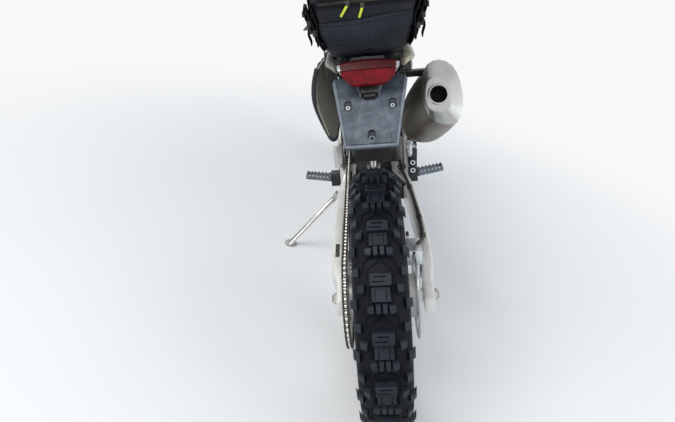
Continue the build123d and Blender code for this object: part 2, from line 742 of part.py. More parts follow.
def swingarm():
    """Two tapering arms, their bridge ahead of the tyre and the pivot tube."""
    arm = None
    for table in (LEFT_ARM, LEFT_END, RIGHT_ARM, RIGHT_END):
        run = beam(table, 5)
        arm = run if arm is None else arm + run
    arm += box_between((-98, *from_pivot(-180, -30)), (102, *from_pivot(-76, 24)))
    for side in (-1, 1):
        root = box_between((62, *from_pivot(-80, -24)), (PIVOT_HALF_WIDTH, *from_pivot(0, 24)))
        arm += root if side > 0 else mirror(root, about=Plane.YZ)
    arm += cross_rod(-PIVOT_HALF_WIDTH, PIVOT_HALF_WIDTH, PIVOT_Y, PIVOT_Z, PIVOT_TUBE_R)
    arm -= cross_rod(-150, 150, PIVOT_Y, PIVOT_Z, PIVOT_BOLT_R + GAP)
    arm -= cross_rod(-160, 160, 0, REAR_TYRE_RADIUS, AXLE_R + GAP)
    return arm


REAR_HUB_LEFT = -90
REAR_HUB_RIGHT = 98
LEFT_ARM_FACES = (-113, -95)
RIGHT_ARM_FACES = (108, 135)


def rear_axle():
    """The axle with its collars beside the hub, its head and its nut."""
    y, z = 0, REAR_TYRE_RADIUS
    axle = cross_rod(LEFT_ARM_FACES[0] - 14, RIGHT_ARM_FACES[1] + 13, y, z, AXLE_R)
    axle += cross_rod(LEFT_ARM_FACES[1] + GAP, REAR_HUB_LEFT - GAP, y, z, AXLE_R + 5)
    axle += cross_rod(REAR_HUB_RIGHT + GAP, RIGHT_ARM_FACES[0] - GAP, y, z, AXLE_R + 5)
    axle += hexagon_rod(LEFT_ARM_FACES[0] - 9, LEFT_ARM_FACES[0] - GAP, y, z, 16)
    axle += hexagon_rod(RIGHT_ARM_FACES[1] + GAP, RIGHT_ARM_FACES[1] + 9, y, z, 16)
    return axle


def pivot_bolt():
    reach = PLATE_X + FRAME_PLATE
    bolt = cross_rod(-reach - 8, reach + 8, PIVOT_Y, PIVOT_Z, PIVOT_BOLT_R)
    return bolt + hexagon_rod(-reach - 8, -reach - GAP, PIVOT_Y, PIVOT_Z, 15) + hexagon_rod(
        reach + GAP, reach + 8, PIVOT_Y, PIVOT_Z, 15
    )


def rear_shock():
    """The shock absorber: spring on its body, between the frame's tower and the swingarm."""
    top, foot = (0, *from_pivot(42, 272)), (0, *from_pivot(-110, 44))
    top_v, foot_v = Vector(*top), Vector(*foot)
    along = (foot_v - top_v).normalized()
    length = (foot_v - top_v).length
    spring = rod(tuple(top_v + along * 62), tuple(top_v + along * (length - 44)), 30)
    body = rod(tuple(top_v + along * 8), tuple(top_v + along * 64), 24)
    shaft = rod(tuple(top_v + along * (length - 48)), tuple(foot_v), 11)
    eyes = cross_rod(-34 + GAP, 34 - GAP, top[1], top[2], 13) + cross_rod(-14, 14, foot[1], foot[2], 14)
    clevis = plate([from_pivot(*p) for p in ((-140, 24.3), (-124, 62), (-96, 62), (-80, 24.3))], 14.3, 8)
    return spring + body + shaft + eyes + both_sides(clevis) + cross_rod(-23, 23, foot[1], foot[2], 7)


def chain_slider():
    """The rubbing strip over the swingarm's front, under the chain's upper run."""
    x, width = CHAIN_X - 9, 20
    side = [(-186, 24.5), (-72, 24.5), (-72, 30), (-110, 32), (-186, 31)]
    return plate([from_pivot(*p) for p in side], x, width)


def chain_guide():
    """Two cheeks and a block that keep the lower run in line, hung from the left arm."""
    y, z = from_axle(168, -77)
    cheek = [(y - 34, z - 24), (y + 30, z - 16), (y + 34, z + 24), from_axle(200, 18.4), from_axle(156, 12)]
    cheek += [(y - 38, z + 14)]
    guide = plate(cheek, CHAIN_X - 19, 7)
    lip = [(y - 34, z - 24), (y + 30, z - 16), (y + 34, z + 24), (y - 38, z + 14)]
    guide += plate(lip, CHAIN_X + 12, 5)
    guide += plate([(y - 34, z - 24), (y + 30, z - 16), (y + 30, z - 10), (y - 34, z - 18)], CHAIN_X - 19, 36)
    return guide


# Engine, exhaust and cooling
def engine_case():
    """The crankcase with its mounting bosses between the frame's plates."""
    side = ((46, 45), (52, -58), (24, -68), (24, -100), (110, -111), (288, -111))
    side += ((322, -62), (322, 20), (284, 88), (262, 108), (112, 108), (84, 88))
    case = plate([from_pivot(*p) for p in side], -CASE_LEFT, CASE_LEFT + CASE_RIGHT)
    case += cross_rod(-PIVOT_HALF_WIDTH, PIVOT_HALF_WIDTH, *from_pivot(36, -84), 11)
    case += cross_rod(-96, -CASE_LEFT, COUNTERSHAFT_Y, COUNTERSHAFT_Z, 12)
    return case


def engine_covers():
    """The clutch cover with the water pump on the right, and the ignition cover on the left."""
    right = CASE_RIGHT + GAP
    clutch = cross_rod(right, right + 22, *from_pivot(152, -4), 72)
    clutch += cross_rod(right, right + 29, *from_pivot(152, -4), 58)
    clutch += cross_rod(right, right + 20, *from_pivot(268, -22), 36)
    left = -CASE_LEFT - GAP
    ignition = cross_rod(left - 28, left, *from_pivot(248, -8), 60)
    ignition += cross_rod(left - 36, left, *from_pivot(248, -8), 44)
    return clutch, ignition


def front_sprocket():
    """The countershaft sprocket, its teeth in step with the chain."""
    step = 2 * math.pi / FRONT_TEETH
    length = math.dist(*chain_runs()[0])
    s = first_roller(UPPER_TANGENT)
    last = length - (length - s) % CHAIN_PITCH
    ahead = (CHAIN_PITCH - (length - last)) / CHAIN_PITCH
    gear = sprocket(FRONT_TEETH, 12 + GAP, UPPER_TANGENT - ahead * step)
    return Pos(CHAIN_X, COUNTERSHAFT_Y, COUNTERSHAFT_Z) * gear


def sprocket_cover():
    """The case saver outside the front sprocket."""
    side = [(60, -34), (72, 62), (140, 74), (152, 20), (128, -40)]
    cover = plate([from_pivot(*p) for p in side], -106, 6)
    return cover + cross_rod(-100, -CASE_LEFT - GAP, *from_pivot(132, 56), 7)


def cylinder():
    """The barrel on the case's top, and the head with its cover on the barrel."""
    slope = math.tan(math.radians(CYLINDER_LEAN))
    base = from_pivot(198, 108)
    rows = ((0, 122, 148), (97, 116, 140))
    barrel = tower([(0, base[0] + slope * up, base[1] + up + GAP, w, l) for up, w, l in rows], 16)
    rows = ((97 + GAP, 130, 152), (150, 124, 146), (176, 112, 136), (200, 78, 100))
    head = tower([(0, base[0] + slope * up, base[1] + up + GAP, w, l) for up, w, l in rows], 14)
    return barrel, head


def header_pipe(head):
    """The exhaust header, from the head's front round the engine's right side."""
    route = [
        (14, *from_pivot(280, 236)),
        (22, *from_pivot(340, 214)),
        (108, *from_pivot(326, 150)),
        (150, *from_pivot(210, 136)),
        (152, *from_pivot(30, 150)),
        (139, *from_pivot(-68, 166)),
    ]
    return tube(route, HEADER_R, 46, 3) - head


# Silencer stations from its tail forwards: across, ahead of the pivot, above it, width, height
MUFFLER_CAP = ((155, -504, 403, 62, 84), (168, -478, 401, 94, 148))
MUFFLER = (
    (168, -478, 401, 94, 148),
    (158, -368, 337, 112, 154),
    (145, -220, 253, 114, 148),
    (139, -130, 202, 90, 112),
)
MUFFLER_NOSE = ((139, -130, 202, 90, 112), (139, -88, 178, 50, 56))
MUFFLER_SLOPE = (0, 0.866, -0.5)

# The silencer's outline as shares of its width and height
SECTION = ((-0.5, 0.14), (-0.4, 0.42), (-0.12, 0.52), (0.2, 0.46), (0.42, 0.24), (0.5, -0.16), (0.4, -0.46))
SECTION += ((0.12, -0.52), (-0.32, -0.42), (-0.48, -0.14))


def muffler_section(x, ahead, up, width, height):
    """The silencer's rounded section, square to its slope."""
    points = [(width * across, height * rise) for across, rise in SECTION]
    return Plane(origin=(x, *from_pivot(ahead, up)), x_dir=(1, 0, 0), z_dir=MUFFLER_SLOPE) * flat(points)


def muffler():
    """The silencer's body and its chamfered end cap with the outlet."""
    body = loft([muffler_section(*s) for s in MUFFLER], ruled=True)
    body += loft([muffler_section(*s) for s in MUFFLER_NOSE], ruled=True)
    cap = loft([muffler_section(*s) for s in MUFFLER_CAP], ruled=True)
    x, ahead, up = MUFFLER_CAP[0][:3]
    outlet = rod((x, *from_pivot(ahead - 50, up + 30)), (x + 4, *from_pivot(ahead + 60, up - 34)), OUTLET_R)
    x, ahead, up = MUFFLER_NOSE[1][:3]
    inlet = rod((x, *from_pivot(ahead + 40, up - 23)), (x, *from_pivot(ahead - 60, up + 35)), HEADER_R + GAP)
    return body - inlet - outlet, cap - outlet


def radiators():
    """Both radiators, each a core between its tanks, beside the frame's front."""
    y, z = from_head(-62, -264)
    radiator = box_between((62, y - 17, z - 92), (140, y + 17, z + 92))
    radiator += box_between((58, y - 19, z + 92), (142, y + 19, z + 112))
    radiator += box_between((52.3, y - 19, z - 108), (142, y + 19, z - 92))
    return both_sides(radiator)


# Bodywork
def seat():
    """A long flat seat, narrow between the knees and dished behind the tank."""
    stations = (
        (0, *from_head(-194.8, -44), 104, 60),
        (0, *from_pivot(130, 498), 124, 62),
        (0, *from_pivot(-60, 482), 170, 60),
        (0, *from_pivot(-240, 492), 178, 50),
        (0, *from_pivot(-356, 500), 150, 36),
    )
    return beam(stations, 14)


def fuel_tank(frame):
    """The tank between the shrouds, notched over the frame's spars, with its filler cap."""
    stations = ((0, *from_head(-96, -52), 112, 110), (0, *from_head(-130, -38), 176, 128))
    tank = beam(stations + ((0, *from_head(-194.5, -54), 200, 130),), 20) - frame
    cap = Pos(0, *from_head(-150, 25)) * Cylinder(30, 22, align=(Align.CENTER, Align.CENTER, Align.MIN))
    return tank, cap - tank


def shroud():
    """A tank shroud flaring over the radiator on the right side."""
    # ahead of the head tube's middle, then top, fold and bottom as (across, height)
    stations = (
        (-330, (92, -62), (96, -96), (94, -120)),
        (-200, (118, -28), (134, -110), (116, -190)),
        (-96, (122, -14), (160, -150), (152, -262)),
        (-10, (151, -60), (168, -190), (158, -300)),
        (18, (151, -150), (165, -200), (158, -262)),
    )
    return folded_panel(stations, from_head, 4) + cross_rod(140 + GAP, 157, *from_head(-62, -200), 9)


def folded_panel(stations, place, thickness):
    """A thin panel folded along its middle, through stations of (ahead, top, fold, bottom)."""
    faces = []
    for ahead, *corners in stations:
        y, z = place(ahead, 0)
        outer = [(x, dz) for x, dz in corners]
        inner = [(x - math.copysign(thickness, x), dz) for x, dz in reversed(corners)]
        faces.append(Plane(origin=(0, y, z), x_dir=(1, 0, 0), z_dir=(0, -1, 0)) * flat(outer + inner))
    return loft(faces, ruled=True)


# Side covers: ahead of the pivot, then top, fold and bottom as (across, height)
COVER_LEFT = (
    (-512, (-113, 484), (-127, 411), (-106, 338)),
    (-400, (-112, 474), (-126, 400), (-106, 272)),
    (-270, (-104, 466), (-116, 392), (-101, 230)),
    (-120, (-96, 458), (-106, 388), (-100, 262)),
    (10, (-96, 452), (-106, 400), (-104, 330)),
)
COVER_RIGHT = (
    (-420, (98, 478), (106, 462), (104, 446)),
    (-270, (98, 466), (106, 430), (100, 386)),
    (-120, (92, 456), (104, 400), (100, 300)),
    (10, (96, 452), (106, 400), (104, 330)),
)


def side_covers():
    """Both side covers, each on a peg against the rail beside it."""
    mirrored = [(ahead, *[(-x, z) for x, z in corners]) for ahead, *corners in COVER_LEFT]
    left = folded_panel(mirrored, from_pivot, 4) + cross_rod(76 + GAP, 106, *from_pivot(-270, 440), 8)
    right = folded_panel(COVER_RIGHT, from_pivot, 4) + cross_rod(76 + GAP, 101, *from_pivot(-270, 440), 8)
    return mirror(left, about=Plane.YZ), right


def rear_fender():
    """The fender under the bag: a low middle with raised wings and turned-down edges."""
    stations = (
        # ahead, half width, height of the middle, height of the wings
        (-598, 86, 478, 508),
        (-500, 95, 484, 516),
        (-360, 91, 480, 488),
    )
    sheet = 4
    faces = []
    for ahead, half, middle, wing in stations:
        y, z = from_pivot(ahead, 0)
        over = [(-half, wing - 26), (-half, wing), (-half + 34, middle)]
        over += [(half - 34, middle), (half, wing), (half, wing - 26)]
        under = [(half - sheet, wing - 26), (half - sheet, wing - 7), (half - 35, middle - sheet)]
        under += [(-half + 35, middle - sheet), (-half + sheet, wing - 7), (-half + sheet, wing - 26)]
        faces.append(Plane(origin=(0, y, z), x_dir=(1, 0, 0), z_dir=(0, -1, 0)) * flat(over + under))
    return loft(faces, ruled=True)


PANEL_LENGTH = 176
PANEL_THICKNESS = 4
PLATE_RECESS = 1.4
PLATE_BOLTS = ((-44, -74), (44, -74), (0, -150))


def panel_plane():
    """The sloping plane of the bare plate panel, from its top edge down and back."""
    y, z = from_pivot(-600.5, 480)
    return Plane(origin=(0, y, z), x_dir=(1, 0, 0), z_dir=(0, -0.545, 0.838))


def plate_holder():
    """The bare sloping panel behind the lamp, its raised middle and three bolt recesses."""
    plane = panel_plane()
    outline = [(-70, 0), (74, 0), (78, -14), (48, -PANEL_LENGTH), (-52, -PANEL_LENGTH), (-74, -14)]
    sheet = extrude(plane * flat(outline), amount=-PANEL_THICKNESS)
    field = plane * flat([(-30, -4), (30, -4), (18, -60), (40, -168), (-40, -168), (-18, -60)])
    sheet += extrude(field, amount=2.5)
    rim_side = flat([(74, -4), (78, -14), (48, -PANEL_LENGTH), (44, -PANEL_LENGTH), (70, -16)])
    sheet += extrude(plane * rim_side, amount=4) + extrude(plane * mirror(rim_side, about=Plane.YZ), amount=4)
    sheet += plane * Pos(0, -64, 8) * Box(28, 16, 16)
    for x, y in PLATE_BOLTS:
        sheet -= plane * Pos(x, y, 5 - PLATE_RECESS) * Box(14, 24, 10)
        sheet -= plane * Pos(x, y - 4) * Cylinder(PLATE_BOLT_R, 40)
    return sheet


def tail_lamp():
    """The lamp's two-plane lens and its housing with the plate lamp below."""
    y, z = from_pivot(-652, 500)
    face = Plane(origin=(0, y, z), x_dir=(1, 0, 0), z_dir=(0, -0.95, 0.31))
    lens = extrude(face * flat([(-61, 24), (61, 24), (54, 6), (36, -24), (-36, -24), (-54, 6)]), amount=-16)
    ridge = side_plane(-70) * flat(
        [(y - 8, z - 30), (y - 2, z + 9), (y + 12, z + 40), (y - 80, z + 40), (y - 80, z - 30)]
    )
    lens -= extrude(ridge, amount=140)
    housing = extrude(
        face.offset(-16 - GAP) * flat([(-58, 22), (58, 22), (50, 2), (34, -10), (-34, -10), (-50, 2)]),
        amount=-22,
    )
    housing += box_between((-28, *from_pivot(-622, 484.5)), (28, *from_pivot(-586, 492)))
    housing += box_between((-28, *from_pivot(-597.5, 479)), (28, *from_pivot(-586, 492)))
    return lens, housing


def rack():
    """A flat luggage plate behind the seat on four short posts."""
    deck = Pos(0, *from_pivot(-500, 521)) * extrude(eight_sided(150, 200, 24), amount=6)
    for ahead, foot in ((-580, 479.8), (-430, 482)):
        deck += both_sides(box_between((38, *from_pivot(ahead, foot + GAP)), (54, *from_pivot(ahead + 16, 521))))
    return deck


def tail_bag():
    """The soft bag strapped on the rack, wider at the top."""
    y, z = from_pivot(-515, 527.4)
    rows = ((0, 166, 262), (24, 196, 284), (100, 226, 296), (150, 220, 286), (178, 188, 250))
    return tower([(0, y, z + up, width, length) for up, width, length in rows], 34)


def bag_handle():
    """The wide carrying band across the bag's rear face."""
    y, z = from_pivot(-665, 590)
    return box_between((-86, y, z - 17), (92, y + 8, z + 17))


def inner_mudflap():
    """The flap ahead of the rear tyre that keeps its spray off the shock."""
    side = [(-250, 425), (-238, 428), (-206, 270), (-196, 120), (-204, 119), (-214, 268)]
    return plate([from_pivot(*p) for p in side], -55.1, 110.2)


def airbox():
    """The air filter's box between the subframe's rails."""
    side = [(-236, 466.3), (-60, 451.7), (-30, 453.9), (-20, 330), (-60, 262), (-190, 300), (-196, 400)]
    return plate([from_pivot(*p) for p in side], -57.7, 115.4)


# Controls, pegs and rear brake
def foot_peg():
    """The right peg: its hanger on the frame, and two toothed rails that rise towards the tip."""
    y, z = from_pivot(-52, 0)
    hanger = box_between((PLATE_X + FRAME_PLATE + GAP, y + 4, z - 34), (PEG_ROOT, y + 34, z + 14))
    pitch = (PEG_TIP - PEG_ROOT) / PEG_TEETH
    rail = [(PEG_ROOT - 4, -9), (PEG_ROOT - 4, 2)]
    for i in range(PEG_TEETH):
        rail += [(PEG_ROOT + pitch * (i + 0.5), 9), (PEG_ROOT + pitch * (i + 1), 2)]
    rail += [(PEG_TIP, -7)]
    root = [(PEG_ROOT - 4, -9), (PEG_ROOT - 4, 2), (PEG_ROOT + 8, 2), (PEG_ROOT + 8, -9)]
    tip = [(PEG_TIP - 6, -7), (PEG_TIP - 6, 2), (PEG_TIP, 2), (PEG_TIP, -7)]
    for outline, rear, thickness in ((rail, -9, 5), (rail, 25, 5), (root, -9, 39), (tip, -9, 39)):
        raised = [(x, z + up + (x - PEG_ROOT) * PEG_SLOPE) for x, up in outline]
        face = Plane(origin=(0, y + rear + thickness, 0), x_dir=(1, 0, 0), z_dir=(0, -1, 0))
        hanger += face * extrude(flat(raised), amount=thickness)
    return hanger


def heel_guard():
    """The right heel guard with its two ringed eyes, beside the brake's master cylinder."""
    y, z = from_pivot(-76, 0)
    inner = PLATE_X + FRAME_PLATE + GAP
    side = [(120, -26), (144, -6), (146, 96), (134, 118), (119, 112)]
    face = Plane(origin=(0, y, z), x_dir=(1, 0, 0), z_dir=(0, -1, 0))
    guard = face * extrude(flat(side), amount=-10)
    for up in (24, 52):
        guard += face * Pos(131, up) * Cylinder(10, 6, align=(Align.CENTER, Align.CENTER, Align.MIN))
        guard -= face * Pos(131, up) * Cylinder(5, 60)
    guard += box_between((inner, y + 4, z + 36), (130, y + 42, z + 84))
    return guard


def brake_pedal():
    """The rear brake's pedal, from its pivot ahead of the right peg."""
    route = [(134, *from_pivot(30, -40)), (142, *from_pivot(96, -62)), (144, *from_pivot(206, -48))]
    pedal = tube(route, 7, 40, 2)
    pedal += cross_rod(PLATE_X + FRAME_PLATE + GAP, 142, *from_pivot(30, -40), 11)
    y, z = from_pivot(206, -46)
    return pedal + box_between((126, y - 14, z - 4), (158, y + 16, z + 8))


def gear_lever():
    """The gear lever, from its shaft under the ignition cover to its toe piece."""
    route = [(-100, *from_pivot(84, -52)), (-116, *from_pivot(140, -50)), (-122, *from_pivot(214, -38))]
    lever = tube(route, 6, 40, 2)
    lever += cross_rod(-112, -CASE_LEFT - GAP, *from_pivot(84, -52), 8)
    return lever + cross_rod(-146, -116, *from_pivot(214, -38), 9)


def caliper(disc_x, y, z, width, length, height):
    """A brake caliper astride its disc, slotted for it with running clearance."""
    low = (disc_x - width * 0.4, y - length / 2, z - height / 2)
    high = (disc_x + width * 0.6, y + length / 2, z + height / 2)
    body = box_between(low, high)
    body = chamfer(body.edges().filter_by(Axis.X), height * 0.18)
    return body


def rear_caliper():
    """The rear caliper over the disc, on its bracket against the right arm."""
    y, z = 82, REAR_TYRE_RADIUS + 80
    body = caliper(REAR_DISC_X, y, z, 38, 78, 44)
    outer = REAR_DISC_X + DISC_THICKNESS + PAD_GAP
    body -= cross_rod(REAR_DISC_X - PAD_GAP, outer, 0, REAR_TYRE_RADIUS, REAR_DISC_R + 3)
    side = [(y - 20, z - 74), (y - 26, z - 18), (y + 39, z - 11), (y + 39, z - 40)]
    hanger = plate(side, RIGHT_ARM[3][0] - RIGHT_ARM[3][3] / 2 - GAP - 8, 8)
    return body + hanger


def front_caliper():
    """The front caliper over its disc, on the left fork lug's rear."""
    y, z = FORK_OFFSET - 40, 70
    body = caliper(FRONT_DISC_X, y, z, 36, 60, 84)
    outer = FRONT_DISC_X + DISC_THICKNESS + PAD_GAP
    body -= cross_rod(FRONT_DISC_X - PAD_GAP, outer, WHEEL_OFFSET, 0, FRONT_DISC_R + 3)
    return body + box_between((-FORK_SPREAD / 2 + 2, y + 4, z - 30), (FRONT_DISC_X - 12, FORK_OFFSET - 24.3, z - 6))


def skid_plate():
    """The plate under the engine, turned up ahead of the cradle."""
    low = -121 - FRAME_TUBE_R - GAP
    side = [(70, low), (300, low), (361, low + 38), (384, low + 102)]
    side += [(389, low + 100), (366, low + 36), (302, low - 4), (70, low - 4)]
    return plate([from_pivot(*p) for p in side], -108, 216)


# Side stand, whose pivot bolt is square to the leg both down and folded
def unit(vector):
    length = math.sqrt(sum(v * v for v in vector))
    return tuple(v / length for v in vector)


def cross(a, b):
    return (a[1] * b[2] - a[2] * b[1], a[2] * b[0] - a[0] * b[2], a[0] * b[1] - a[1] * b[0])


def dot(a, b):
    return sum(p * q for p, q in zip(a, b))


STAND_PIVOT = (STAND_OFFSET[0], PIVOT_Y + STAND_OFFSET[1], PIVOT_Z + STAND_OFFSET[2])
STAND_DOWN = unit(STAND_LEG_DOWN)
STAND_FOLDED = unit(STAND_LEG_FOLDED)
STAND_AXIS = unit(cross(STAND_DOWN, STAND_FOLDED))
STAND_SWING = math.degrees(math.acos(dot(STAND_DOWN, STAND_FOLDED)))
STAND_EYE = 14


def along_stand(axis_distance, leg_distance=0):
    """A point beside the stand's pivot: along its bolt, and down its leg."""
    steps = zip(STAND_PIVOT, STAND_AXIS, STAND_DOWN)
    return tuple(p + a * axis_distance + d * leg_distance for p, a, d in steps)


def stand_bracket():
    """The post on the frame's left plate with the stand's pivot bolt."""
    face = STAND_EYE / 2 + GAP
    post = rod(along_stand(-30), along_stand(-face), 14)
    post += rod(along_stand(-face - 1), along_stand(face + 6), STAND_BOLT_R)
    return post + rod(along_stand(face), along_stand(face + 6), 11)


def side_stand():
    """The leg with its pivot eye and its foot, flat on the floor when parked."""
    leg = rod(along_stand(0, 26), along_stand(0, STAND_LENGTH), STAND_LEG_R)
    leg += rod(along_stand(0, 4), along_stand(0, 30), STAND_EYE / 2 - 0.5)
    leg += rod(along_stand(-STAND_EYE / 2), along_stand(STAND_EYE / 2), 17)
    leg -= rod(along_stand(-20), along_stand(20), STAND_BOLT_R + RUNNING_GAP)
    sole = Plane(origin=STAND_SOLE, z_dir=GROUND_NORMAL)
    leg -= sole * Pos(0, 0, -40) * Box(120, 120, 80)
    return leg + extrude(sole * RegularPolygon(STAND_FOOT_R, 10), amount=STAND_FOOT_HEIGHT)


# Parked attitude: the pitch, height and stand length that put tyres and foot on the floor
def turned(vector, axis, degrees):
    """A vector turned about a unit axis."""
    angle = math.radians(degrees)
    c, s = math.cos(angle), math.sin(angle)
    side = cross(axis, vector)
    along = dot(axis, vector) * (1 - c)
    return tuple(v * c + w * s + a * along for v, w, a in zip(vector, side, axis))


def parked(vector, pitch):
    """A direction of the upright machine, leant over and pitched."""
    return turned(turned(vector, (0, 1, 0), -LEAN), (1, 0, 0), pitch)


def steered(vector):
    """A point of the upright machine after turning the steering onto its left stop."""
    relative = tuple(v - f for v, f in zip(vector, STEERING_FOOT))
    return tuple(v + f for v, f in zip(turned(relative, STEERING_UP, STEERING_LOCK), STEERING_FOOT))


def wheel_turn(rows, pitches, tip_radius, axes):
    """How far to turn a wheel, so that its lowest lug stands flat on the floor."""
    n = [axis[2] for axis in axes]
    corners = [(x, tip_radius - depth, place) for place, _, points in rows for x, depth in points]
    place = max(corners, key=lambda tip: -tip[0] * n[0] + tip[1] * math.hypot(n[1], n[2]))[2]
    return math.degrees(math.atan2(-n[2], -n[1])) - 360 / pitches * place


def wheel_depth(centre, axes, tips):
    """How far below the origin a parked wheel's lowest lug corner reaches."""
    return -min(centre[2] + sum(part * axis[2] for part, axis in zip(tip, axes)) for tip in tips)


UPRIGHT_AXES = ((1, 0, 0), (0, 1, 0), (0, 0, 1))
STEERED_AXES = tuple(turned(axis, STEERING_UP, STEERING_LOCK) for axis in UPRIGHT_AXES)
FRONT_WHEEL_TURN = wheel_turn(
    FRONT_ROWS, FRONT_PITCHES, FRONT_TYRE_RADIUS, [parked(axis, 0) for axis in STEERED_AXES]
)


def parked_pitch():
    """The pitch at which both tyres touch the same floor, and that floor's depth."""
    rear_tips = lug_tips(REAR_TYRE_RADIUS, REAR_ROWS, REAR_PITCHES, REAR_WHEEL_TURN)
    front_tips = lug_tips(FRONT_TYRE_RADIUS, FRONT_ROWS, FRONT_PITCHES, FRONT_WHEEL_TURN)
    low, high = -6.0, 6.0
    for _ in range(40):
        middle = (low + high) / 2
        rear = wheel_depth(parked(REAR_AXLE, middle), [parked(a, middle) for a in UPRIGHT_AXES], rear_tips)
        centre = parked(steered(FRONT_AXLE), middle)
        front = wheel_depth(centre, [parked(a, middle) for a in STEERED_AXES], front_tips)
        if front > rear:
            low = middle
        else:
            high = middle
    return low, rear


PITCH, FLOOR_DEPTH = parked_pitch()
GROUND_NORMAL = turned(turned((0, 0, 1), (1, 0, 0), -PITCH), (0, 1, 0), LEAN)


def stand_length():
    """The leg length that puts the foot's sole on the floor."""
    pivot_height = dot(GROUND_NORMAL, STAND_PIVOT) + FLOOR_DEPTH
    return (pivot_height - STAND_FOOT_HEIGHT) / -dot(GROUND_NORMAL, STAND_DOWN)


STAND_LENGTH = stand_length()
STAND_SOLE = tuple(e - n * STAND_FOOT_HEIGHT for e, n in zip(along_stand(0, STAND_LENGTH), GROUND_NORMAL))


# Assembly
def rear_wheel():
    turn = Rot(REAR_WHEEL_TURN, 0, 0)
    sprocket_face = CHAIN_X + SPROCKET_THICKNESS / 2 + GAP
    carriers = ((sprocket_face, -48, 60), (44, REAR_DISC_X - GAP, 56))
    rim_r = REAR_BEAD_RADIUS - 17
    hub = hub_and_spokes(REAR_HUB_LEFT, REAR_HUB_RIGHT, 46, 32, carriers, rim_r, 2 * REAR_PITCHES)
    return {
        "rear_tyre": turn * tyre(REAR_TYRE_RADIUS, REAR_BEAD_RADIUS, REAR_CARCASS, REAR_ROWS, REAR_PITCHES),
        "rear_rim": turn * rim(REAR_BEAD_RADIUS, REAR_RIM_WIDTH, 2 * REAR_PITCHES),
        "rear_hub": turn * hub,
        "rear_sprocket": Pos(CHAIN_X, 0, 0) * sprocket(REAR_TEETH, 40, 0, 6),
        "rear_disc": brake_disc(REAR_DISC_X, REAR_DISC_R, 24, 56, 6),
    }


def front_wheel():
    turn = Rot(FRONT_WHEEL_TURN, 0, 0)
    carriers = ((FRONT_DISC_X + DISC_THICKNESS + GAP, -36, 50),)
    rim_r = FRONT_BEAD_RADIUS - 17
    hub = hub_and_spokes(-FRONT_HUB_HALF, FRONT_HUB_HALF, 38, 30, carriers, rim_r, 2 * FRONT_PITCHES)
    return {
        "front_tyre": turn * tyre(FRONT_TYRE_RADIUS, FRONT_BEAD_RADIUS, FRONT_CARCASS, FRONT_ROWS, FRONT_PITCHES),
        "front_rim": turn * rim(FRONT_BEAD_RADIUS, FRONT_RIM_WIDTH, 2 * FRONT_PITCHES),
        "front_hub": turn * hub,
        "front_disc": turn * brake_disc(FRONT_DISC_X, FRONT_DISC_R, 24, 46, 6),
    }


def all_pieces():
    """Every piece by its name, in the five groups that move together."""
    clutch, ignition = engine_covers()
    barrel, head = cylinder()
    silencer, end_cap = muffler()
    lens, lamp_body = tail_lamp()
    mask, head_lens = headlamp()
    cover_left, cover_right = side_covers()
    frame = main_frame() + stand_bracket()
    tank, tank_cap = fuel_tank(frame)
    chassis = {
        "main_frame": frame,
        "subframe": subframe(frame, silencer),
        "swingarm": swingarm(),
        "rear_axle": rear_axle(),
        "pivot_bolt": pivot_bolt(),
        "rear_shock": rear_shock(),
        "chain": chain(),
        "chain_guides": chain_slider() + chain_guide(),
        "front_sprocket": front_sprocket(),
        "engine_case": engine_case(),
        "engine_covers": clutch + ignition + sprocket_cover(),
        "cylinder": barrel,
        "cylinder_head": head,
        "header_pipe": header_pipe(head),
        "muffler": silencer,
        "muffler_end_cap": end_cap,
        "radiators": radiators(),
        "seat": seat(),
        "fuel_tank": tank,
        "fuel_cap": tank_cap,
        "shrouds": both_sides(shroud()),
        "side_cover_left": cover_left,
        "side_cover_right": cover_right,
        "rear_fender": rear_fender(),
        "plate_holder": plate_holder(),
        "tail_lamp_lens": lens,
        "tail_lamp_body": lamp_body,
        "rack": rack(),
        "tail_bag": tail_bag() + bag_handle(),
        "airbox": airbox(),
        "inner_mudflap": inner_mudflap(),
        "foot_pegs": both_sides(foot_peg()),
        "brake_pedal": brake_pedal() + heel_guard(),
        "gear_lever": gear_lever(),
        "rear_caliper": rear_caliper(),
        "skid_plate": skid_plate(),
    }
    steering = {
        "triple_clamps": triple_clamps(),
        "fork_tubes": fork_tubes(),
        "fork_sliders": fork_sliders(),
        "front_axle": front_axle(),
        "bar_clamps": bar_clamps(),
        "handlebar": handlebar(),
        "grips": grips(),
        "levers": both_sides(lever_set()),
        "front_fender": front_fender(),
        "fork_guards": fork_guards(),
        "front_caliper": front_caliper(),
        "headlamp_mask": mask,
        "headlamp_lens": head_lens,
    }
    return chassis, steering, front_wheel(), rear_wheel(), {"side_stand": side_stand()}


def main():
    chassis, steering, front, rear, stand = all_pieces()
    lean = Pos(0, 0, FLOOR_DEPTH) * Rot(PITCH, 0, 0) * Rot(0, -LEAN, 0)
    steer = STEERING_PLANE.location * Rot(0, 0, STEERING_LOCK)
    groups = (
        (lean, chassis),
        (lean * steer, steering),
        (lean * steer * Pos(0, WHEEL_OFFSET, 0) * Rot(-RAKE, 0, 0), front),
        (lean * Pos(*REAR_AXLE), rear),
        (lean, stand),
    )
    placed = {name: place * piece for place, pieces in groups for name, piece in pieces.items()}
    extent = Compound(list(placed.values())).bounding_box()
    shift = Pos(-(extent.min.X + extent.max.X) / 2, -(extent.min.Y + extent.max.Y) / 2, 0)
    print("footprint centred by", shift.position.X, shift.position.Y)
    print("extent", extent.min, extent.max)
    os.makedirs("parts", exist_ok=True)
    for name, piece in placed.items():
        export_step(shift * piece, f"parts/{name}.step")


if __name__ == "__main__":
    main()
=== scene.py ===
"""Looks of the parked enduro motorcycle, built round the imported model."""
import json
import math

import bmesh
import bpy
from mathutils import Matrix, Vector, geometry
from mathutils.bvhtree import BVHTree


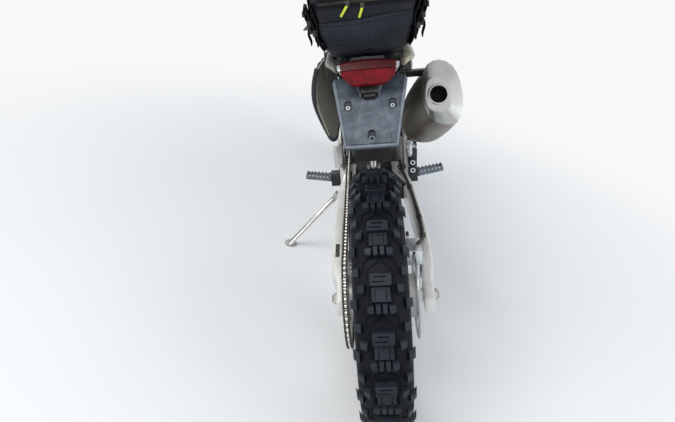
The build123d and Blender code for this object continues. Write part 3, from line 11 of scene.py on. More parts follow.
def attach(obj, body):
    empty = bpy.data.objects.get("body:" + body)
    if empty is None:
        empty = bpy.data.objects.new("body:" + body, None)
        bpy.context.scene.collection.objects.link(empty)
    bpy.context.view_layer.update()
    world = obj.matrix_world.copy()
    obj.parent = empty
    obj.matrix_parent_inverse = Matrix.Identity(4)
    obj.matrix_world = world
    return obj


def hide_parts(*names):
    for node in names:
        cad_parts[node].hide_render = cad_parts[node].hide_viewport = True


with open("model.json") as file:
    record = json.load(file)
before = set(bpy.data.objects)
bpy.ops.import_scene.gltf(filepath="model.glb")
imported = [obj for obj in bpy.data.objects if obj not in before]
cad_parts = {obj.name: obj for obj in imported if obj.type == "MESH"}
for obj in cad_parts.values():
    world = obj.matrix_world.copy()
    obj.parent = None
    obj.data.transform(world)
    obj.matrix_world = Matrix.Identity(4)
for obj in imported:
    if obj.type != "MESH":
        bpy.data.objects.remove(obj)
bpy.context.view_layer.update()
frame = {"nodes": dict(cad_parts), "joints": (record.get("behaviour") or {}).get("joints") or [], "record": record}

# Frames of reference: the upright machine's own axes in millimetres, read from the joints
RAKE = math.radians(27)
JOINTS = {joint["name"]: joint for joint in frame["joints"]}


def axes_matrix(x, y, z, origin):
    turn = Matrix((x, y, z)).transposed().to_4x4()
    return Matrix.Translation(origin) @ turn @ Matrix.Scale(0.001, 4)


ACROSS = Vector(JOINTS["rear_wheel_spin"]["axis"]).normalized()
STEER_UP = Vector(JOINTS["steering"]["axis"]).normalized()
STEER_AHEAD = STEER_UP.cross(ACROSS)
FORWARD = STEER_AHEAD * math.cos(RAKE) - STEER_UP * math.sin(RAKE)
UPWARD = STEER_AHEAD * math.sin(RAKE) + STEER_UP * math.cos(RAKE)


def joint_place(name):
    joint = JOINTS[name]
    return Vector(joint.get("pos_m") or joint["pos"])


def placed(name, data):
    """A new object in the scene."""
    obj = bpy.data.objects.new(name, data)
    bpy.context.collection.objects.link(obj)
    return obj


REAR_RADIUS = 335
FRONT_RADIUS = 350
BIKE = axes_matrix(ACROSS, FORWARD, UPWARD, joint_place("rear_wheel_spin") - UPWARD * REAR_RADIUS / 1000)
BIKE_INVERSE = BIKE.inverted()
AXLE = Vector(JOINTS["front_wheel_spin"]["axis"]).normalized()
HEAD_ALONG = 745
STEER = axes_matrix(AXLE, STEER_UP.cross(AXLE), STEER_UP, joint_place("steering") - STEER_UP * HEAD_ALONG / 1000)
WHEEL_OFFSET = 60.886
PIVOT = (600, 425)
HEAD = (1047.527, 986.158)
REAR_WHEEL = BIKE @ Matrix.Translation((0, 0, REAR_RADIUS))
FRONT_WHEEL = STEER @ Matrix.Translation((0, WHEEL_OFFSET, 0)) @ Matrix.Rotation(-RAKE, 4, "X")


def from_pivot(y, z):
    return (PIVOT[0] + y, PIVOT[1] + z)


def from_head(y, z):
    return (HEAD[0] + y, HEAD[1] + z)


# The photograph's camera, fitted in the upright machine's axes
CAMERA_ACROSS = (0.9954, -0.0569, -0.0771)
CAMERA_PITCH = 28.98
CAMERA_PLACE = (0, -1028, 1165)
FOCAL_PIXELS, PHOTO_PIXELS, SENSOR_WIDTH = 500, 675, 36


def photo_camera():
    across = Vector(CAMERA_ACROSS).normalized()
    ahead = Vector((0, 0, 1)) - across * across.z
    ahead.normalize()
    under = across.cross(ahead)
    pitch = math.radians(CAMERA_PITCH)
    forward = ahead * math.cos(pitch) + under * math.sin(pitch)
    up = under * math.cos(pitch) - ahead * math.sin(pitch)
    rows = [Vector((across[i], forward[i], up[i])) for i in range(3)]
    turn = BIKE.to_3x3().normalized()
    right, down, into = (turn @ row for row in rows)
    camera = placed("photo_camera", bpy.data.cameras.new("photo_camera"))
    camera.matrix_world = Matrix.Translation(BIKE @ Vector(CAMERA_PLACE)) @ Matrix(
        (right, -down, -into)).transposed().to_4x4()
    camera.data.sensor_width = SENSOR_WIDTH
    camera.data.lens = SENSOR_WIDTH * FOCAL_PIXELS / PHOTO_PIXELS
    camera.data.clip_end = 1000
    bpy.context.scene.camera = camera


photo_camera()


# Materials
def feed(tree, socket, value):
    """Sets a socket, or links it where its value is another node's socket."""
    if isinstance(value, bpy.types.NodeSocket):
        tree.links.new(value, socket)
    else:
        socket.default_value = value


def node(tree, kind, **values):
    """A node with its inputs and settings by name."""
    made = tree.nodes.new(kind)
    for key, value in values.items():
        if key in made.inputs:
            feed(tree, made.inputs[key], value)
        else:
            setattr(made, key, value)
    return made


def noise_of(tree, coords, scale, detail, roughness=0.55):
    made = node(tree, "ShaderNodeTexNoise", Vector=coords, Scale=scale, Detail=detail, Roughness=roughness)
    return made.outputs["Fac"]


def ramp_of(tree, value, low, high):
    limits = {"From Min": low, "From Max": high}
    made = node(tree, "ShaderNodeMapRange", interpolation_type="SMOOTHSTEP", Value=value, **limits)
    return made.outputs["Result"]


def mixed(tree, share, first, second):
    """A colour between two colours or sockets, by a share."""
    made = node(tree, "ShaderNodeMix", data_type="RGBA")
    inputs = [s for s in made.inputs if s.type == "RGBA"]
    for socket, value in ((inputs[0], first), (inputs[1], second), (made.inputs[0], share)):
        feed(tree, socket, value)
    return [s for s in made.outputs if s.type == "RGBA"][0]


def math_of(tree, operation, *values):
    made = node(tree, "ShaderNodeMath", operation=operation)
    for socket, value in zip(made.inputs, values):
        feed(tree, socket, value)
    return made.outputs[0]


def product(tree, first, *others):
    for other in others:
        first = math_of(tree, "MULTIPLY", first, other)
    return first


def rgba(colour, gain=1.0):
    return tuple(min(1.0, c * gain) for c in colour[:3]) + (1.0,)


def finish_material(name, colour, roughness, metallic=0.0, mottle=0.12, mottle_scale=9.0, grain_scale=700.0,
                    grain=0.25, grain_depth=0.0003, stretch=(1, 1, 1), dust=0.0, dust_colour=(0.33, 0.30, 0.26),
                    scratches=0.0, weave=0.0, coat=0.0, specular=0.5, rough_spread=0.12, transmission=0.0,
                    voronoi=0.0, voronoi_scale=160.0, stain=None):
    """A surface with mottled colour, fine grain, dust that settles on what faces up, and scratches."""
    material = bpy.data.materials.new(name)
    material.use_nodes = True
    tree = material.node_tree
    tree.nodes.clear()
    where = node(tree, "ShaderNodeTexCoord").outputs["Object"]
    turn = BIKE.to_3x3().normalized().inverted().to_euler()
    along = node(tree, "ShaderNodeMapping", Vector=where, Scale=stretch, Rotation=tuple(turn)).outputs["Vector"]

    patches = ramp_of(tree, noise_of(tree, where, mottle_scale, 6), 0.3, 0.7)
    base = mixed(tree, patches, rgba(colour, 1 - mottle), rgba(colour, 1 + mottle))
    rough = math_of(tree, "MULTIPLY_ADD", noise_of(tree, where, mottle_scale * 3.1, 5), rough_spread,
                    roughness - rough_spread / 2)
    heights = product(tree, noise_of(tree, along, grain_scale, 3, 0.7), grain)
    if weave:
        for axis in ("X", "Z"):
            wave = node(tree, "ShaderNodeTexWave", bands_direction=axis, Vector=along, Scale=weave, Distortion=0.0)
            heights = math_of(tree, "ADD", heights, product(tree, wave.outputs["Fac"], 0.5))
    if voronoi:
        cells = node(tree, "ShaderNodeTexVoronoi", Vector=along, Scale=voronoi_scale)
        heights = math_of(tree, "ADD", heights, product(tree, cells.outputs["Distance"], voronoi))
    if stain:
        streaks = ramp_of(tree, noise_of(tree, along, 1.6, 5, 0.6), 0.46, 0.72)
        base = mixed(tree, product(tree, streaks, 0.75), base, rgba(stain))
    if scratches:
        thin = node(tree, "ShaderNodeMapping", Vector=where, Scale=(14, 320, 60), Rotation=(0.5, 0.9, 0.3))
        lines = ramp_of(tree, noise_of(tree, thin.outputs["Vector"], 1.0, 3, 0.5), 0.63, 0.72)
        zones = ramp_of(tree, noise_of(tree, where, 16, 3), 0.45, 0.65)
        base = mixed(tree, product(tree, lines, zones, scratches), base, rgba(colour, 1.9 if metallic < 0.5 else 0.55))
    if dust:
        facing = node(tree, "ShaderNodeNewGeometry").outputs["Normal"]
        split = node(tree, "ShaderNodeSeparateXYZ", Vector=facing)
        level = ramp_of(tree, split.outputs["Z"], -0.2, 0.95)
        spots = ramp_of(tree, noise_of(tree, where, 38, 8, 0.65), 0.35, 0.75)
        settled = product(tree, level, spots, dust)
        base = mixed(tree, settled, base, rgba(dust_colour))
        rough = math_of(tree, "ADD", rough, product(tree, settled, 0.25))
    bump = node(tree, "ShaderNodeBump", Strength=0.6, Distance=grain_depth, Height=heights).outputs[0]
    weights = {"Coat Weight": coat, "Transmission Weight": transmission, "Specular IOR Level": specular}
    shader = node(tree, "ShaderNodeBsdfPrincipled", Metallic=metallic, IOR=1.45, Roughness=rough, Normal=bump,
                  **{"Base Color": base}, **weights)
    node(tree, "ShaderNodeOutputMaterial", Surface=shader.outputs[0])
    return material


# Each finish: its colour, its roughness and what sets it apart
FINISHES = {
    "frame_paint": ((0.022, 0.023, 0.025), 0.42, dict(dust=0.25, scratches=0.3)),
    "aluminium": ((0.62, 0.62, 0.60), 0.42, dict(metallic=0.75, mottle=0.1, dust=0.35, dust_colour=(0.52, 0.50, 0.46),
        scratches=0.5, grain=0.5)),
    "cast_aluminium": ((0.56, 0.57, 0.57), 0.5, dict(metallic=0.8, grain_scale=420, grain=1.0, dust=0.3,
        scratches=0.2)),
    "steel": ((0.52, 0.52, 0.50), 0.34, dict(metallic=0.95, mottle=0.15, dust=0.15, scratches=0.4)),
    "chain_steel": ((0.055, 0.05, 0.045), 0.45, dict(metallic=0.6, mottle=0.4, mottle_scale=60, dust=0.15)),
    "chain_bright": ((0.72, 0.70, 0.66), 0.28, dict(metallic=0.9, mottle=0.2, mottle_scale=60)),
    "engine_paint": ((0.17, 0.17, 0.175), 0.5, dict(metallic=0.3, dust=0.35, grain=0.8, grain_scale=350)),
    "fork_gold": ((0.40, 0.41, 0.42), 0.28, dict(metallic=0.9, mottle=0.06, dust=0.1)),
    "silencer": ((0.29, 0.265, 0.22), 0.33, dict(metallic=0.88, mottle=0.3, mottle_scale=7, grain_scale=120, grain=1.0,
        grain_depth=0.0002, stretch=(22, 1, 22), dust=0.18, scratches=0.5, dust_colour=(0.36, 0.33, 0.28),
        stain=(0.30, 0.17, 0.085))),
    "silencer_cap": ((0.47, 0.475, 0.46), 0.34, dict(metallic=0.85, mottle=0.16, grain=0.7, grain_scale=260, dust=0.2,
        scratches=0.4)),
    "black_plastic": ((0.018, 0.019, 0.021), 0.5, dict(grain=0.8, grain_scale=520, dust=0.22, scratches=0.25)),
    "grey_plastic": ((0.155, 0.17, 0.19), 0.46, dict(mottle=0.16, grain=0.6, grain_scale=480, dust=0.42,
        dust_colour=(0.36, 0.37, 0.38), scratches=0.45)),
    # The left side cover's finish: the cream cover plastic drawn darker and greyer, painted shade with dust
    "cover_plastic": ((0.225, 0.218, 0.18), 0.42, dict(mottle=0.1, grain=0.4, dust=0.3, scratches=0.3)),
    # Cream plastic of the right side cover; on the right fender wing's strip it is a painted highlight
    "cream_plastic": ((0.58, 0.52, 0.41), 0.36, dict(mottle=0.08, grain=0.3, dust=0.2)),
    # The left fender wing's strip: a dimmer copy of the cream plastic, painted highlight
    "wing_highlight_dim": ((0.33, 0.32, 0.29), 0.4, dict(mottle=0.1, grain=0.3, dust=0.2)),
    "tyre": ((0.012, 0.018, 0.025), 0.5, dict(mottle=0.35, mottle_scale=30, grain=0.7, grain_scale=600, dust=0.1,
        dust_colour=(0.07, 0.08, 0.09), specular=0.25)),
    "tyre_groove": ((0.005, 0.006, 0.009), 0.6, dict(mottle=0.35, mottle_scale=26, grain=1.0, grain_scale=500,
        dust=0.08, dust_colour=(0.05, 0.045, 0.04), specular=0.15)),
    "seat_vinyl": ((0.020, 0.020, 0.022), 0.55, dict(grain=1.0, grain_scale=330, grain_depth=0.0005, dust=0.18)),
    "bag_fabric": ((0.014, 0.017, 0.024), 0.6, dict(specular=0.2, mottle=0.25, grain=0.5, grain_scale=900, weave=190.0,
        grain_depth=0.0005, dust=0.07, dust_colour=(0.16, 0.16, 0.17))),
    "bag_shell": ((0.0055, 0.0075, 0.012), 0.54, dict(specular=0.3, mottle=0.3, grain=0.8, grain_scale=420,
        grain_depth=0.0004, dust=0.04, dust_colour=(0.16, 0.16, 0.18))),
    "webbing": ((0.005, 0.005, 0.006), 0.7, dict(specular=0.2, grain=0.6, weave=260.0, grain_depth=0.0005)),
    "zip_pull": ((0.55, 0.62, 0.04), 0.5, dict(grain=0.8)),
    "lens_red": ((0.135, 0.001, 0.005), 0.2, dict(mottle=0.4, mottle_scale=48, grain=0.15, voronoi=1.2,
        voronoi_scale=130, grain_depth=0.0012, rough_spread=0.05, specular=0.3)),
    # Pale clear plastic; on the tail lens's two side strips it is a painted highlight
    "lens_clear": ((0.72, 0.75, 0.78), 0.08, dict(mottle=0.05, grain=0.1, transmission=0.6, voronoi=0.6,
        voronoi_scale=70, grain_depth=0.0008, coat=0.6, rough_spread=0.04)),
    "lens_dark": ((0.050, 0.0005, 0.002), 0.42, dict(mottle=0.3, mottle_scale=60, grain=0.15, voronoi=0.5,
        voronoi_scale=150, grain_depth=0.0006, rough_spread=0.05, specular=0.25)),
    # A lighter copy of the panel plastic for the tail panel's raised arms, lips, boss and crossbar: painted highlight,
    # with scratches and dust
    "panel_edge_highlight": ((0.135, 0.16, 0.195), 0.42, dict(mottle=0.2, mottle_scale=30, grain=0.6, grain_scale=460, dust=0.35,
        dust_colour=(0.42, 0.45, 0.48), scratches=0.8)),
    # A darker copy of the panel plastic for the walls and floors of the tail panel's recesses: painted shade
    "panel_painted_shade": ((0.020, 0.027, 0.036), 0.6, dict(mottle=0.2, grain=0.6, dust=0.1)),
    "panel_plastic": ((0.056, 0.070, 0.092), 0.42, dict(mottle=0.22, mottle_scale=16, grain=0.7, grain_scale=460,
        dust=0.3, dust_colour=(0.34, 0.38, 0.43), scratches=0.9)),
    "arm_silver": ((0.74, 0.74, 0.71), 0.36, dict(metallic=0.35, mottle=0.07, mottle_scale=14, grain=0.4, dust=0.3,
        dust_colour=(0.50, 0.46, 0.40), scratches=0.4)),
    "bright_cast": ((0.72, 0.77, 0.80), 0.34, dict(metallic=0.6, mottle_scale=40, grain_scale=380, grain=1.0, dust=0.2,
        scratches=0.3)),
    "peg_steel": ((0.16, 0.19, 0.22), 0.4, dict(metallic=0.7, mottle=0.2, mottle_scale=40, dust=0.2, scratches=0.5)),
    "spring_paint": ((0.50, 0.50, 0.48), 0.35, dict(metallic=0.3, dust=0.4, scratches=0.2)),
    "rubber": ((0.018, 0.018, 0.019), 0.68, dict(grain=0.8, dust=0.2)),
    "disc_steel": ((0.55, 0.55, 0.55), 0.26, dict(metallic=1.0, mottle=0.08, grain=0.8, grain_scale=160,
        stretch=(30, 1, 1))),
    # Near-black painted shade for sockets, bores and the silencer's outlet, drawn as shallow or closed faces
    "hole": ((0.006, 0.006, 0.006), 0.8, dict(grain=0.4)),
}
MATERIALS = {name: finish_material(name, colour, roughness, **more)
             for name, (colour, roughness, more) in FINISHES.items()}

# Nodes that take a more exact finish than that of their slot
NODE_FINISH = {
    # The left side cover's darker finish is painted shade on a cream cover
    "side_cover_left": "cover_plastic",
    "muffler_end_cap": "silencer_cap",
    "rear_caliper": "bright_cast",
    "swingarm": "arm_silver",
    "foot_pegs": "peg_steel",
    "subframe": "frame_paint",
    "front_caliper": "cast_aluminium",
}
SLOTS = {row["node"]: row["material_slot"] for row in frame["record"]["subparts"]}
BODIES = {name: body for body, names in frame["record"]["behaviour"]["bodies"].items() for name in names}


# Mesh helpers, all in millimetres of the frame that is given
def add_piece(name, bm, finishes, replaced=(), smooth=32, matrix=BIKE, body="chassis"):
    """Makes one piece of a mesh, sets its finishes, rides it on a body and hides the CAD parts it replaces."""
    bmesh.ops.transform(bm, matrix=matrix, verts=bm.verts)
    bmesh.ops.recalc_face_normals(bm, faces=bm.faces)
    mesh = bpy.data.meshes.new(name)
    bm.to_mesh(mesh)
    bm.free()
    for finish in finishes:
        mesh.materials.append(MATERIALS[finish])
    obj = placed(name, mesh)
    mesh.polygons.foreach_set("use_smooth", [True] * len(mesh.polygons))
    mesh.set_sharp_from_angle(angle=math.radians(smooth))
    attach(obj, body)
    if replaced:
        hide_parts(*replaced)
    return obj


def rounded_edges(bm, width, angle, shortest=0.0):
    """Rounds the edges that turn by more than an angle and aren't shorter than the shortest."""
    sharp = [e for e in bm.edges if len(e.link_faces) == 2 and e.calc_face_angle() > math.radians(angle)
             and e.calc_length() >= shortest]
    bmesh.ops.bevel(bm, geom=sharp, offset=width, segments=2, profile=0.5, affect="EDGES", clamp_overlap=True)


# A CAD edge is rounded if it turns by more than this, in degrees, and is this many roundings long
NODE_SHARP, NODE_SHORTEST = 28, 1.6


def rounded_node(name, width):
    """A copy of a CAD node with its sharp edges rounded, which stands for it."""
    bm = bmesh.new()
    bm.from_mesh(frame["nodes"][name].data)
    bmesh.ops.remove_doubles(bm, verts=bm.verts, dist=1e-5)
    bmesh.ops.dissolve_limit(bm, angle_limit=math.radians(0.6), verts=bm.verts, edges=bm.edges)
    if width:
        rounded_edges(bm, width / 1000, NODE_SHARP, width / 1000 * NODE_SHORTEST)
    bmesh.ops.triangulate(bm, faces=[f for f in bm.faces if len(f.verts) > 4])
    finish = NODE_FINISH.get(name, SLOTS[name])
    add_piece(name + "_finished", bm, [finish], [name], 34, Matrix.Identity(4), BODIES[name])


def ring_faces(bm, rows, closed_ends=False, material=0, looped=False):
    """Quads between rows of points, each a closed line; looped joins the last row to the first."""
    made = [[bm.verts.new(p) for p in row] for row in rows]
    count = len(made[0])
    faces = []
    for here, there in zip(made, made[1:] + (made[:1] if looped else [])):
        for i in range(count):
            j = (i + 1) % count
            faces.append(bm.faces.new((here[i], here[j], there[j], there[i])))
    if closed_ends:
        faces += [bm.faces.new(made[0][::-1]), bm.faces.new(made[-1])]
    for face in faces:
        face.material_index = material
    return made


def lathe(bm, section, steps, material=0):
    """A body of revolution about the x axis from (x, radius) points."""
    turns = [2 * math.pi * i / steps for i in range(steps)]
    rows = [[Vector((x, r * math.cos(a), r * math.sin(a))) for x, r in section] for a in turns]
    ring_faces(bm, rows, material=material, looped=True)


def circle(centre, side, other, radius, sides):
    """Points round a circle that two directions span."""
    turns = [2 * math.pi * i / sides for i in range(sides)]
    return [centre + side * radius * math.cos(a) + other * radius * math.sin(a) for a in turns]


def cylinder(bm, start, end, radius, sides, material=0, end_radius=None):
    """A round bar between two points."""
    start, end = Vector(start), Vector(end)
    along = (end - start).normalized()
    side = along.orthogonal().normalized()
    ends = ((start, radius), (end, radius if end_radius is None else end_radius))
    rows = [circle(centre, side, along.cross(side), r, sides) for centre, r in ends]
    ring_faces(bm, rows, True, material)


def cylinders(bm, rows):
    """Round bars from rows of (start, end, radius, sides, then a material and an end radius)."""
    for row in rows:
        cylinder(bm, *row)


def swept(bm, points, radius, sides, material=0, rounding=0):
    """A round tube along points, keeping one side up."""
    points = chaikin([Vector(p) for p in points], rounding, False)
    rows = []
    side = None
    for i, p in enumerate(points):
        ahead = points[min(i + 1, len(points) - 1)] - points[max(i - 1, 0)]
        ahead.normalize()
        side = ahead.orthogonal().normalized() if side is None else (side - ahead * side.dot(ahead)).normalized()
        rows.append(circle(p, side, ahead.cross(side), radius, sides))
    ring_faces(bm, rows, True, material)


def chaikin(points, times=2, closed=True):
    """A polygon with its corners cut again and again, which stays inside it."""
    for _ in range(times):
        count = len(points)
        made = []
        for i in range(count if closed else count - 1):
            a, b = Vector(points[i]), Vector(points[(i + 1) % count])
            made += [a.lerp(b, 0.25), a.lerp(b, 0.75)]
        points = made if closed else [Vector(points[0])] + made + [Vector(points[-1])]
    return points


def block(bm, low, high, material=0):
    """A box between two corners."""
    x0, y0, z0 = low
    x1, y1, z1 = high
    rows = [[Vector((x, y, z)) for x, y in ((x0, y0), (x1, y0), (x1, y1), (x0, y1))] for z in (z0, z1)]
    ring_faces(bm, rows, True, material)


def sheet(bm, outer, inwards):
    """A thin sheet between rows of points and the same rows moved inwards."""
    ring_faces(bm, [row + [p + inwards for p in reversed(row)] for row in outer], True)


def bits(bm, place, *corners):
    """Boxes of the second finish, from pairs of corners measured from a place."""
    for low, high in corners:
        block(bm, place + Vector(low), place + Vector(high), material=1)


def softened(rows, times):
    """Rows of numbers, or of points, with their creases cut again and again; both end rows stay."""
    for _ in range(times):
        made = [rows[0]]
        for a, b in zip(rows, rows[1:]):
            made += [blend(a, b, 0.25), blend(a, b, 0.75)]
        rows = made + [rows[-1]]
    return rows


def blend(a, b, share):
    """A number between two numbers, or a row between two rows, by a share."""
    if isinstance(a, (list, tuple)):
        return [blend(p, q, share) for p, q in zip(a, b)]
    return a + (b - a) * share


# Wheels
REAR_CARCASS = ((25.7, 229.4), (27.5, 236), (37, 246), (49, 261), (56.5, 275), (58.5, 286), (56, 298), (49, 307.5),
                (39, 313.5), (26, 317.6), (13, 319), (0, 319.3))
FRONT_CARCASS = ((18.7, 272.4), (20.5, 279), (28, 288), (36, 299), (40, 308), (39, 317), (33.5, 325), (25, 329.8),
                 (13, 332.3), (0, 333))

# How far below the tread's highest radius a knob's top lies, at distances from the middle
REAR_TIPS = ((0, 0.6), (21, 0.7), (30, 3.0), (42, 12.2), (57, 28.2), (64, 33.2))
FRONT_TIPS = ((0, 0.6), (17, 0.7), (22, 1.7), (27, 7.2), (44, 23.2))
REAR_PITCHES, FRONT_PITCHES = 18, 15
FOOT_DEPTH, KNOB_EDGE, SLAB_EDGE, SLAB_DRAFT, RIDGE_HALF = 2.5, 1.3, 0.9, 1.6, 0.9
TYRE_STEPS, RIM_STEPS, HUB_STEPS = 180, 144, 72
REAR_TURN, FRONT_TURN = math.radians(15.35), math.radians(-85.061)


def level(table, across):
    """The value of a table of (across, value) rows at a distance from the middle."""
    across = abs(across)
    for (x0, v0), (x1, v1) in zip(table, table[1:]):
        if across <= x1:
            return v0 + (v1 - v0) * (across - x0) / (x1 - x0)
    return table[-1][1]


def carcass_radius(carcass, across):
    return level(sorted((x, r) for x, r in carcass[5:]), across)


def knob(bm, corners, angle, radius, tips, foot, draft):
    """A rubber knob: corners of its top as (across, along), tapering wider down to its foot."""
    centre = Vector((sum(c[0] for c in corners) / len(corners), sum(c[1] for c in corners) / len(corners)))
    spin = Matrix.Rotation(angle, 3, "X")

    def ring(grow, drop, to_foot=False):
        points = []
        for x, t in corners:
            away = Vector((x, t)) - centre
            away = away.normalized() * grow
            px, pt = x + away.x, t + away.y
            r = foot(px) if to_foot else radius - level(tips, x) - drop
            points.append(spin @ Vector((px, r, pt)))
        return points

    ring_faces(bm, [ring(draft, 0, True), ring(0.0, KNOB_EDGE), ring(-KNOB_EDGE, 0.0)], True)


def slab(bm, low, high, angle, radius, tips, foot, slots, sink):
    """A rubber block whose top has slots of (low corner, high corner, depth), widening to its foot."""
    spin = Matrix.Rotation(angle, 3, "X")
    xs, ts = (sorted({low[k], high[k], *[slot[i][k] for slot in slots for i in (0, 1)]}) for k in (0, 1))

    def place(x, t, drop):
        return spin @ Vector((x, radius - level(tips, x) - sink - drop, t))

    cells = {}
    for i in range(len(xs) - 1):
        for j in range(len(ts) - 1):
            x, s = (xs[i] + xs[i + 1]) / 2, (ts[j] + ts[j + 1]) / 2
            cells[i, j] = max([d for a, b, d in slots if a[0] < x < b[0] and a[1] < s < b[1]], default=0.0)
    for (i, j), deep in cells.items():
        corners = ((xs[i], ts[j]), (xs[i + 1], ts[j]), (xs[i + 1], ts[j + 1]), (xs[i], ts[j + 1]))
        bm.faces.new([bm.verts.new(place(*c, deep)) for c in corners])
        for other, a, b in (((i + 1, j), 1, 2), ((i, j + 1), 2, 3)):
            beside = cells.get(other, deep)
            if beside != deep:
                wall = ((a, deep), (b, deep), (b, beside), (a, beside))
                bm.faces.new([bm.verts.new(place(*corners[k], d)) for k, d in wall])
    outline = [(x, ts[0]) for x in xs] + [(xs[-1], s) for s in ts[1:]]
    outline += [(x, ts[-1]) for x in reversed(xs[:-1])] + [(xs[0], s) for s in reversed(ts[1:-1])]

    def outwards(x, s, by):
        return x + by * ((x == xs[-1]) - (x == xs[0])), s + by * ((s == ts[-1]) - (s == ts[0]))

    rows = [[place(*c, 0.0) for c in outline], [place(*outwards(*c, SLAB_EDGE), SLAB_EDGE) for c in outline], []]
    for c in outline:
        x, s = outwards(*c, SLAB_DRAFT + SLAB_EDGE)
        rows[2].append(spin @ Vector((x, foot(x), s)))
    ring_faces(bm, rows)


def ridge(bm, points, angle, foot, rise):
    """A low line moulded on the carcass through points of (across, along)."""
    spin = Matrix.Rotation(angle, 3, "X")
    top = RIDGE_HALF * 0.6
    for (x0, s0), (x1, s1) in zip(points, points[1:]):
        length = math.hypot(x1 - x0, s1 - s0)
        nx, ns = -(s1 - s0) / length, (x1 - x0) / length
        section = ((RIDGE_HALF, -0.8), (top, rise), (-top, rise), (-RIDGE_HALF, -0.8))
        rows = [[spin @ Vector((x + nx * w, foot(x) + FOOT_DEPTH + h, s + ns * w)) for w, h in section]
                for x, s in ((x0, s0), (x1, s1))]
        ring_faces(bm, rows, True, 1)


def tyre(name, matrix, body, carcass, radius, tips, pitches, turn, slabs, knobs, ridges, node_name):
    bm = bmesh.new()
    mirrored = list(carcass) + [(-x, r) for x, r in reversed(carcass[:-1])]
    lathe(bm, mirrored, TYRE_STEPS, 1)
    widest = carcass[5][0] - 0.5

    def foot(x):
        return carcass_radius(carcass, min(abs(x), widest)) - FOOT_DEPTH

    step = 2 * math.pi / pitches
    for i in range(pitches):
        for place, low, high, slots, sink in slabs:
            slab(bm, low, high, turn + step * (i + place), radius, tips, foot, slots, sink)
        for place, corners, draft in knobs:
            knob(bm, corners, turn + step * (i + place), radius, tips, foot, draft)
        for points, rise in ridges:
            for side in (-1, 1):
                ridge(bm, [(side * x, s) for x, s in points], turn + step * i, foot, rise)
    bmesh.ops.remove_doubles(bm, verts=bm.verts, dist=0.01)
    add_piece(name, bm, ["tyre", "tyre_groove"], [node_name], 30, matrix, body)


def side_mirrored(rows):
    """Rows of knobs and their mirror images on the tyre's other side."""
    return rows + [(place, [(-x, s) for x, s in reversed(corners)], draft) for place, corners, draft in rows]


# Blocks: place in pitches, low and high corner, slots, how far the top is sunk
REAR_SLABS = [
    (0.0, (-20.5, -11.5), (20.5, 11.5), (((-12, -6.6), (12, -3.6), 4.0), ((-17.5, 3.4), (8, 6.4), 4.0)), 0.0),
    (0.0, (-18, 14.5), (18, 43), (((-12.4, 18), (-9.6, 41), 3), ((9.6, 18), (12.4, 41), 3),
                              ((-6, 18), (6, 20.4), 2)), 8.4),
]
REAR_KNOBS = side_mirrored([
    (0.5, [(1.8, -10), (11.6, -10), (11.6, 7.5), (6.7, 10), (1.8, 7.5)], 1.6),
    (0.5, [(15.0, -7.5), (28.0, -6.5), (28.0, 6), (21, 9.6), (15.0, 7.5)], 1.6),
    (0.84, [(43, -9), (56, -7), (56, 7), (43, 9)], 2.2),
    (0.42, [(49, -10), (62.3, -7.5), (62.3, 7.5), (49, 10)], 2.2),
    (0.15, [(31.5, -8.5), (45, -7.5), (45, 6), (34, 9.5)], 2.2),
])
REAR_RIDGES = [
    ([(2.6, -46), (2.6, -38), (19, -27), (26.5, -22), (26.5, -4)], 1.8),
    ([(22, -46), (33, -37), (33, -16)], 1.6),
    ([(22.5, 16), (25, 24), (24, 36), (14, 45), (0, 47.6)], 2.6),
    ([(36, 30), (46, 33)], 1.4),
]
FRONT_SLABS = [
    (0.0, (-16.5, -11.5), (16.5, 11.5), (((-10, -6.6), (10, -3.6), 4.0), ((-13.5, 3.4), (6, 6.4), 4.0)), 0.0),
    (0.0, (-13, 14.5), (13, 50), (((-8.4, 18), (-6, 48), 3), ((6, 18), (8.4, 48), 3)), 8.4),
]
FRONT_KNOBS = side_mirrored([
    (0.5, [(1.6, -10), (9.4, -10), (9.4, 7.5), (5.5, 9.8), (1.6, 7.5)], 1.5),
    (0.5, [(12.4, -8), (20.6, -7), (20.6, 6), (16.5, 9), (12.4, 7.5)], 1.5),
    (0.0, [(28.5, -12), (42, -9), (42, 8), (28.5, 12)], 2.2),
    (0.5, [(25.5, -9), (33, -7), (33, 7), (25.5, 9)], 2.0),
])
FRONT_RIDGES = [
    ([(2.4, -58), (2.4, -46), (14, -32), (20, -26), (20, -4)], 1.6),
    ([(17, 18), (19, 40), (8, 52), (0, 54)], 2.2),
]
tyre("rear_knobbly_tyre", REAR_WHEEL, "rear_wheel", REAR_CARCASS, REAR_RADIUS, REAR_TIPS, REAR_PITCHES, REAR_TURN,
     REAR_SLABS, REAR_KNOBS, REAR_RIDGES, "rear_tyre")
tyre("front_knobbly_tyre", FRONT_WHEEL, "front_wheel", FRONT_CARCASS, FRONT_RADIUS, FRONT_TIPS, FRONT_PITCHES,
     FRONT_TURN, FRONT_SLABS, FRONT_KNOBS, FRONT_RIDGES, "front_tyre")


HUB_BORE = 10.2
SPOKE_R, NIPPLE_R, NIPPLE_LENGTH = 1.7, 3.0, 16
SPOKE_SWING = math.radians(48)


def rim(name, matrix, body, bead, half, replaced):
    bm = bmesh.new()
    section = [(half * 0.4, bead - 10), (half - 3.5, bead - 0.5), (half - 0.8, bead + 2.6), (half, bead + 2.6),
               (half, bead - 5), (half * 0.72, bead - 9.5), (half * 0.42, bead - 16.4)]
    section += [(-x, r) for x, r in reversed(section)]
    lathe(bm, section, RIM_STEPS)
    add_piece(name, bm, ["aluminium"], [replaced], 40, matrix, body)


rim("rear_rim_band", REAR_WHEEL, "rear_wheel", 229, 29, "rear_rim")
rim("front_rim_band", FRONT_WHEEL, "front_wheel", 272, 22, "front_rim")


